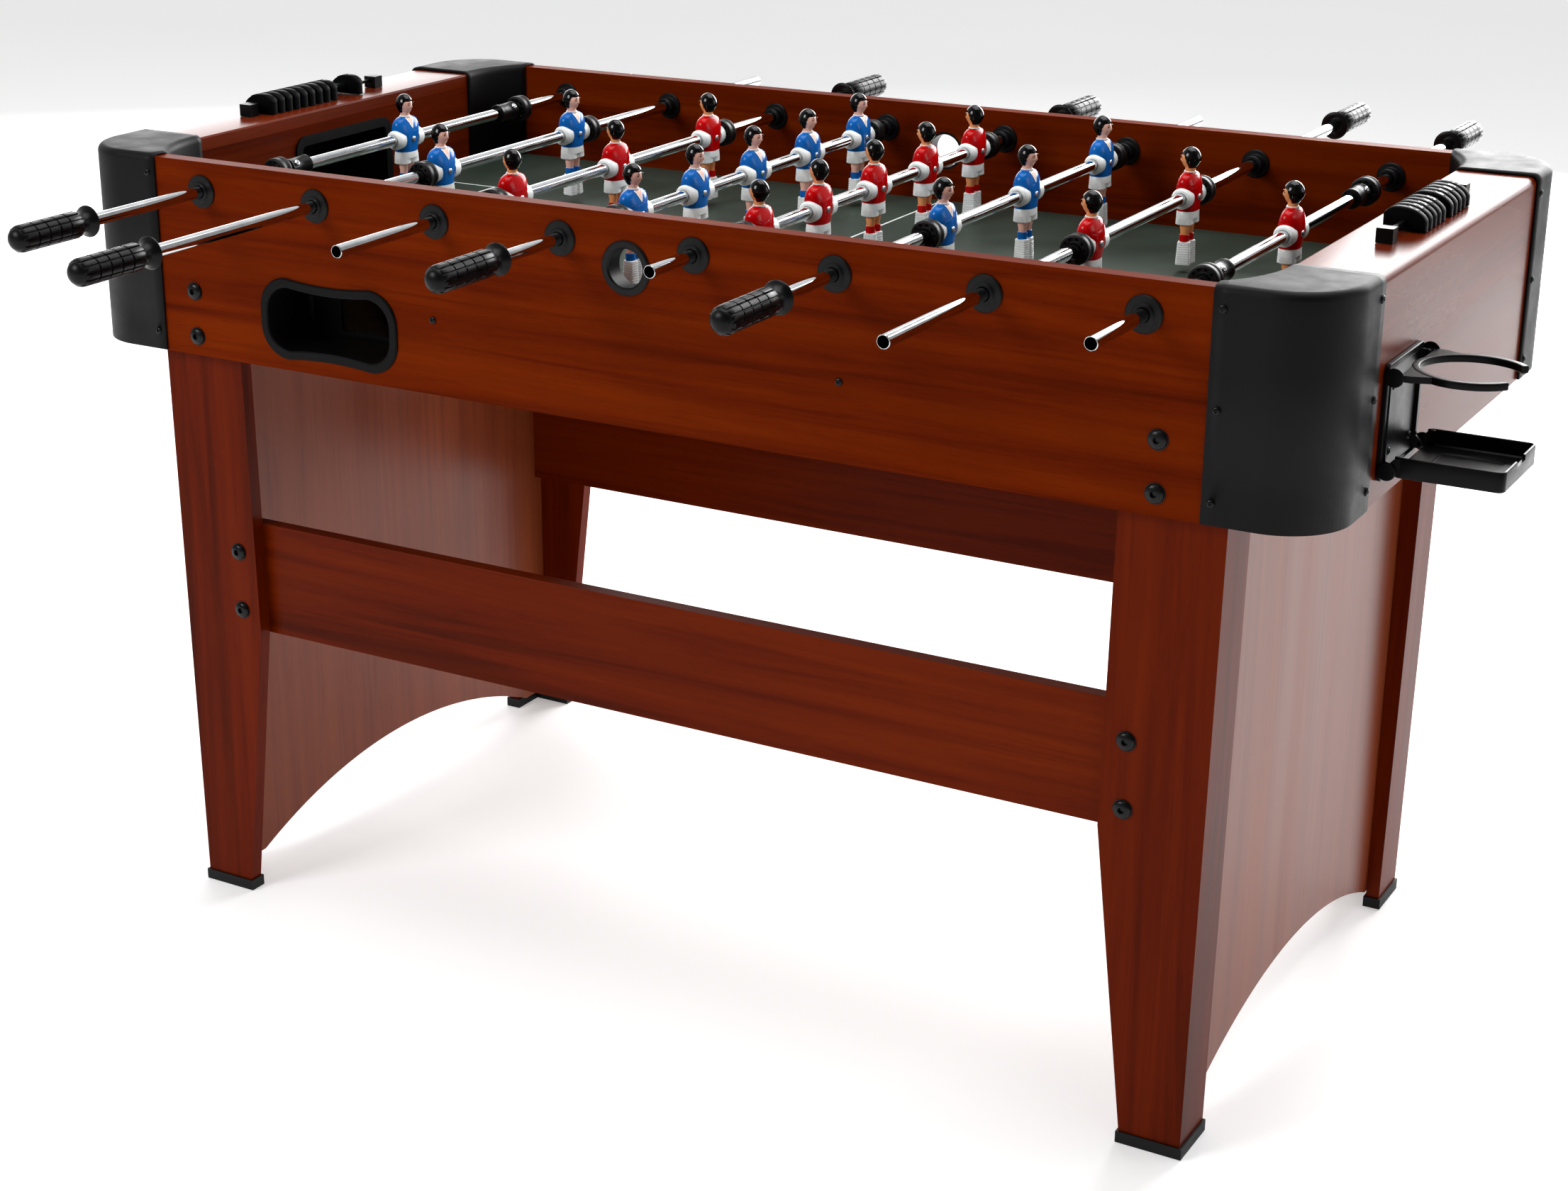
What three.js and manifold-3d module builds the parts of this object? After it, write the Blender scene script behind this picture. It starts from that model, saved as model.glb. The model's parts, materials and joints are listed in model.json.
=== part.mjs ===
// Foosball table: a playing box on four board legs, crossed by eight telling rods of men.
// Millimetres, +Z up, +X along the length, feet on Z = 0. Blue plays towards +X, red towards -X.
import * as THREE from 'three';
import { mergeVertices } from 'three/addons/utils/BufferGeometryUtils.js';
import Module from 'manifold-3d';

const wasm = await Module();
wasm.setup();

// ---- Driving dimensions -------------------------------------------------------------------------

const GAP = 0.3;                 // air between pieces that rest against each other

// playing box
const LENGTH = 1396;             // over the two end panels
const WIDTH = 708;               // over the two side panels
const BOX_BOTTOM = 641;          // underside of the box above the floor
const BOX_DEPTH = 210;           // underside to rim
const SIDE_BOARD = 18;
const END_BOARD = 15;
const GOAL_BOARD = 15;
const FIELD_BOARD = 6;
const FIELD_DROP = 110;          // rim down to the field
const LEDGE_WIDTH = 82;          // end panel's outer face to the goal wall's inner face
const EDGE_ROUND = 8;            // round on the ledge's outer edge
const CORNER_RADIUS = 62;        // plan radius where side and end panels meet
const BATTEN_WIDTH = 40;         // stiffeners glued under the field
const BATTEN_DEPTH = 30;
const BATTEN_PITCH = 180;

// corner caps
const CAP_WALL = 3;
const CAP_ALONG = 111;           // reach along the side panel
const CAP_ACROSS = 105;          // reach along the end panel
const CAP_ABOVE = 1;             // its bottom above the underside of the box
const CAP_SAG = 8;               // hollow of the cap's inner edge
const CAP_LIP = 2.5;             // how far the cap's skirt stands in front of the goal wall

// rods, bearings, stops and handles
const ROD_PITCH = 150;
const ROD_DROP = 31;             // rim down to the rod axes
const ROD_RADIUS = 6.4;
const ROD_TUBE_WALL = 1.2;
const ROD_TAIL = 50;             // bare end left outside at full travel
const RUNNING_GAP = 0.5;         // round air between a rod and what it runs in
const BEARING_RADIUS = 10.2;
const BEARING_STUB = 13;         // bearing length inside the panel's inner face
const BEARING_SPOUT = 5;         // bearing length outside the panel's outer face
const RING_RADIUS = 15;          // rubber bumper ring
const RING_LENGTH = 16;
const COLLAR_RADIUS = 10.5;      // stop collar on the goalkeepers' rods
const COLLAR_LENGTH = 40;
const HANDLE_CLEAR = 84;         // panel to handle when pushed right in
const HANDLE_LENGTH = 105;
const HANDLE_RADIUS = 13.6;
const HANDLE_DISC = 16;          // radius of the guard disc
const HANDLE_DISC_THICK = 3;
const HANDLE_NECK = 9.5;         // radius between disc and grip
const HANDLE_NECK_LENGTH = 14;
const HANDLE_SHOULDER = 4;       // slopes from the neck out to the grip
const HANDLE_BORE_DEPTH = 70;
const HANDLE_DOME = 9;
const HANDLE_DOME_EDGE = 3;      // depth of the dome's flatter middle

// men, measured from the rod axis
const MAN_SLEEVE_RADIUS = 12;
const MAN_SLEEVE_HALF = 24;
const MAN_CHEST_HALF = 20;       // along the rod
const MAN_CHEST_DEPTH = 11.5;    // front and back of the rod axis
const MAN_SHIRT_TOP = 25;
const MAN_SHIRT_BOTTOM = 14;
const MAN_HEAD_TOP = 49;
const MAN_HEAD_RADIUS = 10;
const MAN_NECK_HALF = 4.5;
const MAN_SHOULDER_HALF = 9;     // flat top of the shirt
const MAN_SHOULDER = 12.5;       // where the shoulders start to slope
const MAN_SHORTS_BOTTOM = 28;
const MAN_HIP_HALF = 16;
const MAN_HIP_DEPTH = 9;
const MAN_LEG_HALF = 10;
const MAN_LEG_DEPTH = 6;
const MAN_FOOT_TOP = 47;
const MAN_FOOT_BOTTOM = 71;
const MAN_FOOT_HALF = 11;
const MAN_FOOT_DEPTH = 7.5;

// goals, ball return and serving
const GOAL_WIDTH = 156;
const GOAL_HEIGHT = 73;
const GOAL_FRAME = 11;           // flat frame round the mouth
const GOAL_CORNER = 6;           // radius of the mouth's upper corners
const PLASTIC_WALL = 2.5;
const CHUTE_CLEAR = 50;          // clear width of the ball chute
const CHUTE_START_DROP = 44;     // chute floor below the field's underside at the goal
const CHUTE_END_DROP = 65;       // and at the cup
const CUP_X = 365;               // return cup from the table's middle
const CUP_UNDER_FIELD = 2.5;     // air between the field and the cup's tub
const CUP_WIDTH = 157;
const CUP_HEIGHT = 67;
const CUP_WAIST = 3.5;
const CUP_END_RADIUS = 26.8;     // radius of the oval's corners
const CUP_FLANGE = 10;
const CUP_DEPTH = 70;
const CUP_BACK_DOOR = 74;        // width of the opening where balls roll in
const SERVE_DROP = 52;           // rim down to the serving hole
const SERVE_RADIUS = 19;
const SERVE_FLANGE = 8;

// legs
const LEG_BOARD = 16;
const LEG_TOP_INSET = 92;        // outer edge at the box, in from the end panel's face
const LEG_FOOT_INSET = 99;       // outer edge at the floor
const LEG_TOP_WIDTH = 103;
const LEG_KNEE_HEIGHT = 326;
const LEG_KNEE_INSET = 4;        // knee further in than the leg's inner edge at the box
const LEG_FOOT_WIDTH = 62.5;
const LEG_RETURN = 60;           // width of the leg's board that faces the end
const LEG_PANEL_INSET = 114;     // outer face of the panel between two legs
const LEG_PANEL_RISE = 17;       // above the underside of the box
const LEG_PANEL_FOOT = 18;
const ARCH_SHOULDER = 4;         // flat between the leg's return and the arch
const ARCH_RISE = 58;
const STRETCHER_BOTTOM = 321;
const STRETCHER_HEIGHT = 127;
const STRETCHER_BOARD = 15;
const FOOT_HEIGHT = 12;
const FOOT_SOLE = 3;
const FOOT_WALL = 2;

// score counters
const SCORE_X = 40;              // counter rail from the end panel's outer face
const SCORE_RAIL_HALF = 122;
const SCORE_RAIL_RADIUS = 2.5;
const SCORE_RAIL_HEIGHT = 9;
const SCORE_BLOCK = 14;
const SCORE_BLOCK_WIDTH = 16;
const SCORE_BLOCK_HEIGHT = 14;
const BEAD_PITCH = 13.75;
const BEAD_THICK = 11;
const BEAD_WIDTH = 40;
const BEAD_HEIGHT = 22;
const BEAD_CREST = 6;            // its highest line, towards the field from its middle
const BEAD_INNER = 13;           // height of its flank towards the field
const BEAD_OUTER = 8;            // height of its outer flank, where the slope with the numeral ends
const BEAD_SLEEVE = 5;

// cup holder on the right end
const HOLDER_FROM_SIDE = 182;    // its middle from the front side panel's face
const HOLDER_WIDTH = 106;
const HOLDER_DROP = 83;          // its top below the rim
const HOLDER_HEIGHT = 107;
const HOLDER_PLATE = 3.2;
const HOLDER_EAR = 4;
const HOLDER_EAR_WAIST = 6;      // ear's depth between its two hinges
const HOLDER_EYE = 4;            // radius of an ear round a hinge
const HOLDER_ARM = 6;            // width of the ring's and the tray's hinge arms
const HOLDER_PIN = 2.2;
const HINGE_OUT = 10;            // hinge axes from the end panel
const RING_OPEN_RADIUS = 45;
const RING_BAND = 7;
const RING_OUT = 63;             // ring's middle from the end panel
const RING_HEIGHT = 7;
const RING_HINGE_DROP = 10;      // below the bracket's top
const RING_MOUTH = 39;           // degrees each side of straight out
const RING_BRIDGE = 24;          // outer edge of the plate between its arms, from the end panel
const TRAY_REACH = 113;          // tray's front from the end panel
const TRAY_HEIGHT = 19;
const TRAY_FLOOR = 4;
const TRAY_RIM = 3;
const TRAY_HINGE_RISE = 12;      // above the bracket's bottom
const TRAY_ARM_HALF = 4;         // half height of the tray's hinge arms
const TRAY_UNDER = 5;            // underside of the tray below its hinge

// the men's lines from the left goal to the right one; rest is how far each rod is pushed to +Y
const LINES = [
  { team: 'blue', men: 1, rest: 0 },
  { team: 'blue', men: 2, rest: -8 },
  { team: 'red', men: 3, rest: -20 },
  { team: 'blue', men: 5, rest: 20 },
  { team: 'red', men: 5, rest: 12 },
  { team: 'blue', men: 3, rest: 65 },
  { team: 'red', men: 2, rest: 9 },
  { team: 'red', men: 1, rest: 20 },
];
// how far a rod of so many men slides each way from the middle
const ROD_TRAVEL = { 1: 85.4, 2: 154.4, 3: 85.4, 5: 40.4 };
const TEAMS = {
  blue: { facing: 1, handleSide: -1 },
  red: { facing: -1, handleSide: 1 },
};
// counters pushed together in groups, the first bead's edge, and the space between the groups
const SCORES = {
  left: { first: -99, groups: [9, 1], space: 34 },
  right: { first: -64, groups: [5, 5], space: 11 },
};

// ---- Derived places -----------------------------------------------------------------------------

const RIM_TOP = BOX_BOTTOM + BOX_DEPTH;
const END_X = LENGTH / 2;
const SIDE_Y = WIDTH / 2;
const INNER_Y = SIDE_Y - SIDE_BOARD;
const GOAL_X = END_X - LEDGE_WIDTH;
const LEG_TOP_X = END_X - LEG_TOP_INSET;
const LEG_FOOT_X = END_X - LEG_FOOT_INSET;
const LEG_PANEL_X = END_X - LEG_PANEL_INSET;
const FIELD_TOP = RIM_TOP - FIELD_DROP;
const FIELD_UNDER = FIELD_TOP - FIELD_BOARD;
const ROD_Z = RIM_TOP - ROD_DROP;
const SERVE_Z = RIM_TOP - SERVE_DROP;
const LEG_FACE_Y = INNER_Y - GAP;
const LEG_BACK_Y = LEG_FACE_Y - LEG_BOARD;
const LEG_TOP_Z = FIELD_UNDER - GAP;
const CUP_Z = FIELD_UNDER - CUP_UNDER_FIELD - PLASTIC_WALL - CUP_HEIGHT / 2;
const TURN = Math.PI * 2;

const ROUND = 8;                 // sides of round pieces
const CORNER_STEPS = 3;          // facets in the plan corner
const BEAD_STEPS = 2;            // facets in each arc of a counter, halved

// radius of a faceted hole whose flats clear a round of the given radius
const holeRadius = (radius, clearance) => (radius + clearance) / Math.cos(Math.PI / ROUND);

// ---- Materials ----------------------------------------------------------------------------------

const finish = (color, roughness, metalness = 0) => ({ color, roughness, metalness });
const MATERIALS = {
  laminate: finish(0x7a2c14, 0.35),
  field: finish(0x25392f, 0.6),
  plastic: finish(0x17181a, 0.5),
  rubber: finish(0x101112, 0.7),
  chrome: finish(0xd5d8dc, 0.15, 1),
};

// ---- Solids -------------------------------------------------------------------------------------

function solidOf(geometry) {
  const bare = geometry.clone();
  bare.deleteAttribute('normal');
  bare.deleteAttribute('uv');
  const merged = mergeVertices(bare, 1e-4);
  return new wasm.Manifold(new wasm.Mesh({
    numProp: 3,
    vertProperties: new Float32Array(merged.attributes.position.array),
    triVerts: new Uint32Array(merged.index.array),
  }));
}

function geometryOf(solid) {
  const mesh = solid.getMesh();
  const geometry = new THREE.BufferGeometry();
  geometry.setAttribute('position', new THREE.BufferAttribute(new Float32Array(mesh.vertProperties), 3));
  geometry.setIndex(new THREE.BufferAttribute(new Uint32Array(mesh.triVerts), 1));
  geometry.computeVertexNormals();
  return geometry;
}

const join = (solids) => solids.reduce((whole, solid) => whole.add(solid));
const cut = (solid, tools) => tools.reduce((whole, tool) => whole.subtract(tool), solid);

// a block between the two values given for each of x, y and z
function block([x0, x1], [y0, y1], [z0, z1]) {
  const geometry = new THREE.BoxGeometry(Math.abs(x1 - x0), Math.abs(y1 - y0), Math.abs(z1 - z0));
  geometry.translate((x0 + x1) / 2, (y0 + y1) / 2, (z0 + z1) / 2);
  return solidOf(geometry);
}

// a round bar along Y
function bar(radius, y0, y1, x = 0, z = 0, sides = ROUND) {
  const geometry = new THREE.CylinderGeometry(radius, radius, Math.abs(y1 - y0), sides);
  geometry.rotateY(Math.PI / sides);
  geometry.translate(x, (y0 + y1) / 2, z);
  return solidOf(geometry);
}

const shapeOf = (points) => new THREE.Shape(points.map(([u, v]) => new THREE.Vector2(u, v)));

// a plan outline (x, y) raised from z0 to z1
function raise(shape, z0, z1, steps = CORNER_STEPS) {
  const geometry = new THREE.ExtrudeGeometry(shape, {
    depth: z1 - z0, bevelEnabled: false, curveSegments: steps,
  });
  geometry.translate(0, 0, z0);
  return solidOf(geometry);
}

// a front outline (x, z) carried from y0 to y1
function carry(shape, y0, y1, steps = CORNER_STEPS) {
  const geometry = new THREE.ExtrudeGeometry(shape, {
    depth: Math.abs(y1 - y0), bevelEnabled: false, curveSegments: steps,
  });
  geometry.rotateX(Math.PI / 2);
  geometry.translate(0, Math.max(y0, y1), 0);
  return solidOf(geometry);
}

// an end outline (y, z) carried from x0 to x1
function carryX(shape, x0, x1, steps = CORNER_STEPS) {
  const geometry = new THREE.ExtrudeGeometry(shape, {
    depth: Math.abs(x1 - x0), bevelEnabled: false, curveSegments: steps,
  });
  geometry.rotateX(Math.PI / 2);
  geometry.rotateZ(Math.PI / 2);
  geometry.translate(Math.min(x0, x1), 0, 0);
  return solidOf(geometry);
}

// ---- The table's group --------------------------------------------------------------------------

const table = new THREE.Group();

// adds one named piece, mirrored to -X or -Y where asked
function addPiece(name, solid, material, { flipX = false, flipY = false } = {}) {
  const placed = solid.scale([flipX ? -1 : 1, flipY ? -1 : 1, 1]);
  const mesh = new THREE.Mesh(geometryOf(placed), new THREE.MeshStandardMaterial(MATERIALS[material]));
  mesh.name = name;
  table.add(mesh);
}

const ENDS = [{ name: 'left', flipX: true }, { name: 'right', flipX: false }];
const SIDES = [{ name: 'front', flipY: true }, { name: 'back', flipY: false }];

// ---- Playing box --------------------------------------------------------------------------------

// the box's plan with its rounded corners, grown outwards by the given amount
function planOutline(grow) {
  const x = END_X - CORNER_RADIUS;
  const y = SIDE_Y - CORNER_RADIUS;
  const radius = CORNER_RADIUS + grow;
  const shape = new THREE.Shape();
  shape.absarc(x, y, radius, 0, TURN / 4);
  shape.absarc(-x, y, radius, TURN / 4, TURN / 2);
  shape.absarc(-x, -y, radius, TURN / 2, TURN * 3 / 4);
  shape.absarc(x, -y, radius, TURN * 3 / 4, TURN);
  return shape;
}

const boxPlan = raise(planOutline(0), 0, RIM_TOP);

const rodX = (index) => (index - (LINES.length - 1) / 2) * ROD_PITCH;

// the oval of the return cup, grown outwards by the given amount
function cupOutline(grow) {
  const halfWidth = CUP_WIDTH / 2 + grow;
  const halfHeight = CUP_HEIGHT / 2 + grow;
  const radius = CUP_END_RADIUS + grow;
  const x = halfWidth - radius;
  const shape = new THREE.Shape();
  shape.moveTo(-x, -halfHeight);
  shape.quadraticCurveTo(0, -halfHeight + 2 * CUP_WAIST, x, -halfHeight);
  shape.absarc(x, -halfHeight + radius, radius, -TURN / 4, 0);
  shape.absarc(x, halfHeight - radius, radius, 0, TURN / 4);
  shape.quadraticCurveTo(0, halfHeight - 2 * CUP_WAIST, -x, halfHeight);
  shape.absarc(-x, halfHeight - radius, radius, TURN / 4, TURN / 2);
  shape.absarc(-x, -halfHeight + radius, radius, TURN / 2, TURN * 3 / 4);
  return shape;
}

// side board at +Y with its rod bearings seated in it; cupX is where its return cup goes through
function sidePanel(cupX) {
  const board = block([-END_X + END_BOARD + GAP, END_X - END_BOARD - GAP], [INNER_Y, SIDE_Y],
    [BOX_BOTTOM, RIM_TOP]).intersect(boxPlan);
  const bearings = LINES.map((line, index) => bar(BEARING_RADIUS, INNER_Y - BEARING_STUB,
    SIDE_Y + BEARING_SPOUT, rodX(index), ROD_Z));
  const bores = LINES.map((line, index) => bar(holeRadius(ROD_RADIUS, RUNNING_GAP),
    INNER_Y - BEARING_STUB - 1, SIDE_Y + BEARING_SPOUT + 1, rodX(index), ROD_Z));
  const servingHole = bar(holeRadius(SERVE_RADIUS + PLASTIC_WALL, GAP), 0, SIDE_Y + 1, 0, SERVE_Z);
  const cupHole = carry(cupOutline(PLASTIC_WALL + GAP), 0, SIDE_Y + 1).translate([cupX, 0, CUP_Z]);
  return cut(join([board, ...bearings]), [...bores, servingHole, cupHole]);
}

// end panel and ledge folded from one board, at +X
function endBox() {
  const outline = new THREE.Shape();
  outline.moveTo(END_X - END_BOARD, BOX_BOTTOM);
  outline.lineTo(END_X, BOX_BOTTOM);
  outline.absarc(END_X - EDGE_ROUND, RIM_TOP - EDGE_ROUND, EDGE_ROUND, 0, TURN / 4);
  outline.lineTo(GOAL_X, RIM_TOP);
  outline.lineTo(GOAL_X, RIM_TOP - END_BOARD);
  outline.lineTo(END_X - END_BOARD, RIM_TOP - END_BOARD);
  return carry(outline, -INNER_Y + GAP, INNER_Y - GAP).intersect(boxPlan);
}

function goalWall() {
  const half = GOAL_WIDTH / 2 + PLASTIC_WALL + GAP;
  const mouthTop = FIELD_TOP + GOAL_HEIGHT + PLASTIC_WALL + GAP;
  const wall = block([GOAL_X, GOAL_X + GOAL_BOARD], [-INNER_Y + GAP, INNER_Y - GAP],
    [FIELD_UNDER, RIM_TOP - END_BOARD - GAP]);
  return wall.subtract(block([GOAL_X - 1, END_X], [-half, half], [0, mouthTop]));
}

function playfield() {
  const halfLength = GOAL_X - GAP;
  const halfWidth = INNER_Y - GAP;
  const board = block([-halfLength, halfLength], [-halfWidth, halfWidth], [FIELD_UNDER, FIELD_TOP]);
  const battens = [-1, 0, 1].map((step) => block(
    [step * BATTEN_PITCH - BATTEN_WIDTH / 2, step * BATTEN_PITCH + BATTEN_WIDTH / 2],
    [-halfWidth, halfWidth],
    [FIELD_UNDER - BATTEN_DEPTH, FIELD_UNDER + 1],
  ));
  return join([board, ...battens]);
}

// the cap's inner edge: an arc hollowed towards the corner, moved out by the given amount
function capInnerEdge(out) {
  const start = new THREE.Vector2(GOAL_X - CAP_LIP, SIDE_Y - CAP_ACROSS);
  const end = new THREE.Vector2(END_X - CAP_ALONG, INNER_Y);
  const along = end.clone().sub(start);
  const outwards = new THREE.Vector2(along.y, -along.x).normalize();
  const steps = 2 * CORNER_STEPS;
  return Array.from({ length: steps + 1 }, (_, step) => {
    const share = step / steps;
    const hollow = CAP_SAG * 4 * share * (1 - share) + out;
    return start.clone().addScaledVector(along, share).addScaledVector(outwards, hollow);
  });
}

// black moulded cap on the corner at +X +Y
function cornerCap() {
  const x = END_X - CORNER_RADIUS;
  const y = SIDE_Y - CORNER_RADIUS;
  const fromX = END_X - CAP_ALONG;
  const fromY = SIDE_Y - CAP_ACROSS;
  const top = RIM_TOP + CAP_WALL;
  const shell = new THREE.Shape();
  shell.moveTo(fromX, SIDE_Y + GAP);
  shell.absarc(x, y, CORNER_RADIUS + GAP, TURN / 4, 0, true);
  shell.lineTo(END_X + GAP, fromY);
  shell.lineTo(END_X + CAP_WALL, fromY);
  shell.absarc(x, y, CORNER_RADIUS + CAP_WALL, 0, TURN / 4);
  shell.lineTo(fromX, SIDE_Y + CAP_WALL);
  const lid = new THREE.Shape();
  lid.moveTo(END_X + CAP_WALL, fromY);
  lid.absarc(x, y, CORNER_RADIUS + CAP_WALL, 0, TURN / 4);
  lid.lineTo(fromX, SIDE_Y + CAP_WALL);
  capInnerEdge(0).reverse().forEach((point) => lid.lineTo(point.x, point.y));
  const skirtOutline = new THREE.Shape([...capInnerEdge(0), ...capInnerEdge(CAP_WALL).reverse()]);
  const playSide = block([0, GOAL_X - GAP], [0, INNER_Y - GAP], [FIELD_TOP + GAP, top]);
  return join([
    raise(shell, BOX_BOTTOM + CAP_ABOVE, top),
    raise(lid, RIM_TOP + GAP, top),
    raise(skirtOutline, 0, top).intersect(playSide),
  ]);
}

// ---- Goals, ball return and serving ring --------------------------------------------------------

const chuteFloor = (drop) => FIELD_UNDER - drop;

// outline of the goal's mouth (y, z) with its upper corners rounded, grown by the given amount
function mouthOutline(grow, bottom) {
  const half = GOAL_WIDTH / 2 + grow;
  const radius = GOAL_CORNER + grow;
  const centreZ = FIELD_TOP + GOAL_HEIGHT - GOAL_CORNER;
  const shape = new THREE.Shape();
  shape.moveTo(-half, bottom);
  shape.lineTo(half, bottom);
  shape.absarc(half - radius, centreZ, radius, 0, TURN / 4);
  shape.absarc(radius - half, centreZ, radius, TURN / 4, TURN / 2);
  return shape;
}

// goal frame, throat and pocket at +X, with the open chute that leads to the cup at +Y
function goalLiner() {
  const half = GOAL_WIDTH / 2;
  const backX = END_X - END_BOARD - GAP;
  const pocketX = GOAL_X + GOAL_BOARD + GAP;
  const pocketFloor = chuteFloor(CHUTE_START_DROP);
  const frame = carryX(mouthOutline(GOAL_FRAME, FIELD_TOP + GAP), GOAL_X - GAP - PLASTIC_WALL, GOAL_X - GAP);
  const throat = carryX(mouthOutline(PLASTIC_WALL, FIELD_TOP + GAP), GOAL_X - 2 * GAP, backX);
  const pocket = block([pocketX, backX], [-half - PLASTIC_WALL, half + PLASTIC_WALL],
    [pocketFloor - PLASTIC_WALL, FIELD_TOP + 1]);
  const mouthSpace = carryX(mouthOutline(0, FIELD_TOP - 1), 0, backX - PLASTIC_WALL);
  const pocketSpace = block([pocketX + PLASTIC_WALL, backX - PLASTIC_WALL], [-half, half],
    [pocketFloor, FIELD_TOP + 1]);

  const from = new THREE.Vector2((pocketX + backX) / 2, 0);
  const to = new THREE.Vector2(CUP_X, SIDE_Y - CUP_DEPTH - GAP);
  const run = to.clone().sub(from);
  const fall = CHUTE_END_DROP - CHUTE_START_DROP;
  const slope = Math.atan2(fall, run.length());
  const beyond = CHUTE_CLEAR;
  const place = (solid) => solid
    .rotate([0, slope * 360 / TURN, 0])
    .rotate([0, 0, run.angle() * 360 / TURN])
    .translate([from.x, from.y, pocketFloor]);
  const reach = run.length() + beyond;
  const wallHalf = CHUTE_CLEAR / 2 + PLASTIC_WALL;
  const channel = place(block([0, reach], [-wallHalf, wallHalf], [-PLASTIC_WALL, CHUTE_CLEAR / 2]));
  const channelSpace = place(block([0, reach], [-CHUTE_CLEAR / 2, CHUTE_CLEAR / 2], [0, CHUTE_CLEAR]));
  const underField = block([0, backX], [-half, INNER_Y], [0, FIELD_UNDER - GAP]);
  const beforeCup = block([0, backX], [-half, to.y], [0, FIELD_UNDER - GAP]);
  const chute = channel.intersect(beforeCup);
  const chuteSpace = channelSpace.intersect(underField);
  return cut(join([frame, throat, pocket, chute]), [mouthSpace, pocketSpace, chuteSpace]);
}

// return cup let into the side panel at +X +Y
function returnCup() {
  const rear = SIDE_Y - CUP_DEPTH;
  const tub = carry(cupOutline(PLASTIC_WALL), rear, SIDE_Y + CAP_WALL);
  const flange = carry(cupOutline(CUP_FLANGE), SIDE_Y + GAP, SIDE_Y + CAP_WALL);
  const hollow = carry(cupOutline(0), rear + PLASTIC_WALL, SIDE_Y + CAP_WALL + 1);
  const door = block([-CUP_BACK_DOOR / 2, CUP_BACK_DOOR / 2], [rear - 1, rear + PLASTIC_WALL + 1],
    [-CUP_HEIGHT / 2 + 2 * CUP_WAIST, CUP_HEIGHT / 2 - 2 * CUP_WAIST]);
  return cut(join([tub, flange]), [hollow, door]).translate([CUP_X, 0, CUP_Z]);
}

function servingRing() {
  const throat = bar(SERVE_RADIUS + PLASTIC_WALL, INNER_Y, SIDE_Y + CAP_WALL, 0, SERVE_Z);
  const flange = bar(SERVE_RADIUS + SERVE_FLANGE, SIDE_Y + GAP, SIDE_Y + CAP_WALL, 0, SERVE_Z);
  const hole = bar(SERVE_RADIUS, INNER_Y - 1, SIDE_Y + CAP_WALL + 1, 0, SERVE_Z);
  return join([throat, flange]).subtract(hole);
}

// ---- Legs ---------------------------------------------------------------------------------------

// outer edge of a leg at a height
const legEdge = (z) => LEG_FOOT_X + (LEG_TOP_X - LEG_FOOT_X) * z / BOX_BOTTOM;

// L-shaped leg at +X +Y: a tapered board behind the side panel, returned along the end
function leg() {
  const foot = FOOT_SOLE + GAP;
  const face = shapeOf([
    [legEdge(foot), foot],
    [legEdge(LEG_TOP_Z), LEG_TOP_Z],
    [LEG_TOP_X - LEG_TOP_WIDTH, LEG_TOP_Z],
    [LEG_TOP_X - LEG_TOP_WIDTH, BOX_BOTTOM],
    [LEG_TOP_X - LEG_TOP_WIDTH - LEG_KNEE_INSET, LEG_KNEE_HEIGHT],
    [LEG_FOOT_X - LEG_FOOT_WIDTH, FOOT_HEIGHT],
    [LEG_FOOT_X - LEG_FOOT_WIDTH, foot],
  ]);
  const turned = shapeOf([
    [legEdge(foot), foot],
    [legEdge(LEG_TOP_Z), LEG_TOP_Z],
    [LEG_PANEL_X + GAP, LEG_TOP_Z],
    [LEG_PANEL_X + GAP, foot],
  ]);
  return join([
    carry(face, LEG_BACK_Y, LEG_FACE_Y),
    carry(turned, LEG_FACE_Y - LEG_RETURN, LEG_FACE_Y),
  ]);
}

// plastic shoe under a leg at +X +Y
function foot() {
  const reachX = legEdge(FOOT_HEIGHT) + GAP + FOOT_WALL;
  const reachY = LEG_FACE_Y + GAP + FOOT_WALL;
  const innerX = LEG_FOOT_X - LEG_FOOT_WIDTH - GAP - FOOT_WALL;
  const innerY = LEG_FACE_Y - LEG_RETURN - GAP - FOOT_WALL;
  const armX = LEG_PANEL_X - FOOT_WALL;
  const armY = LEG_BACK_Y - GAP - FOOT_WALL;
  const body = raise(shapeOf([
    [innerX, armY], [armX, armY], [armX, innerY], [reachX, innerY], [reachX, reachY], [innerX, reachY],
  ]), 0, FOOT_HEIGHT);
  const faceSocket = block([innerX + FOOT_WALL, reachX - FOOT_WALL], [armY + FOOT_WALL, reachY - FOOT_WALL],
    [FOOT_SOLE, FOOT_HEIGHT + 1]);
  const returnSocket = block([armX + FOOT_WALL, reachX - FOOT_WALL],
    [innerY + FOOT_WALL, reachY - FOOT_WALL], [FOOT_SOLE, FOOT_HEIGHT + 1]);
  return cut(body, [faceSocket, returnSocket]);
}

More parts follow.
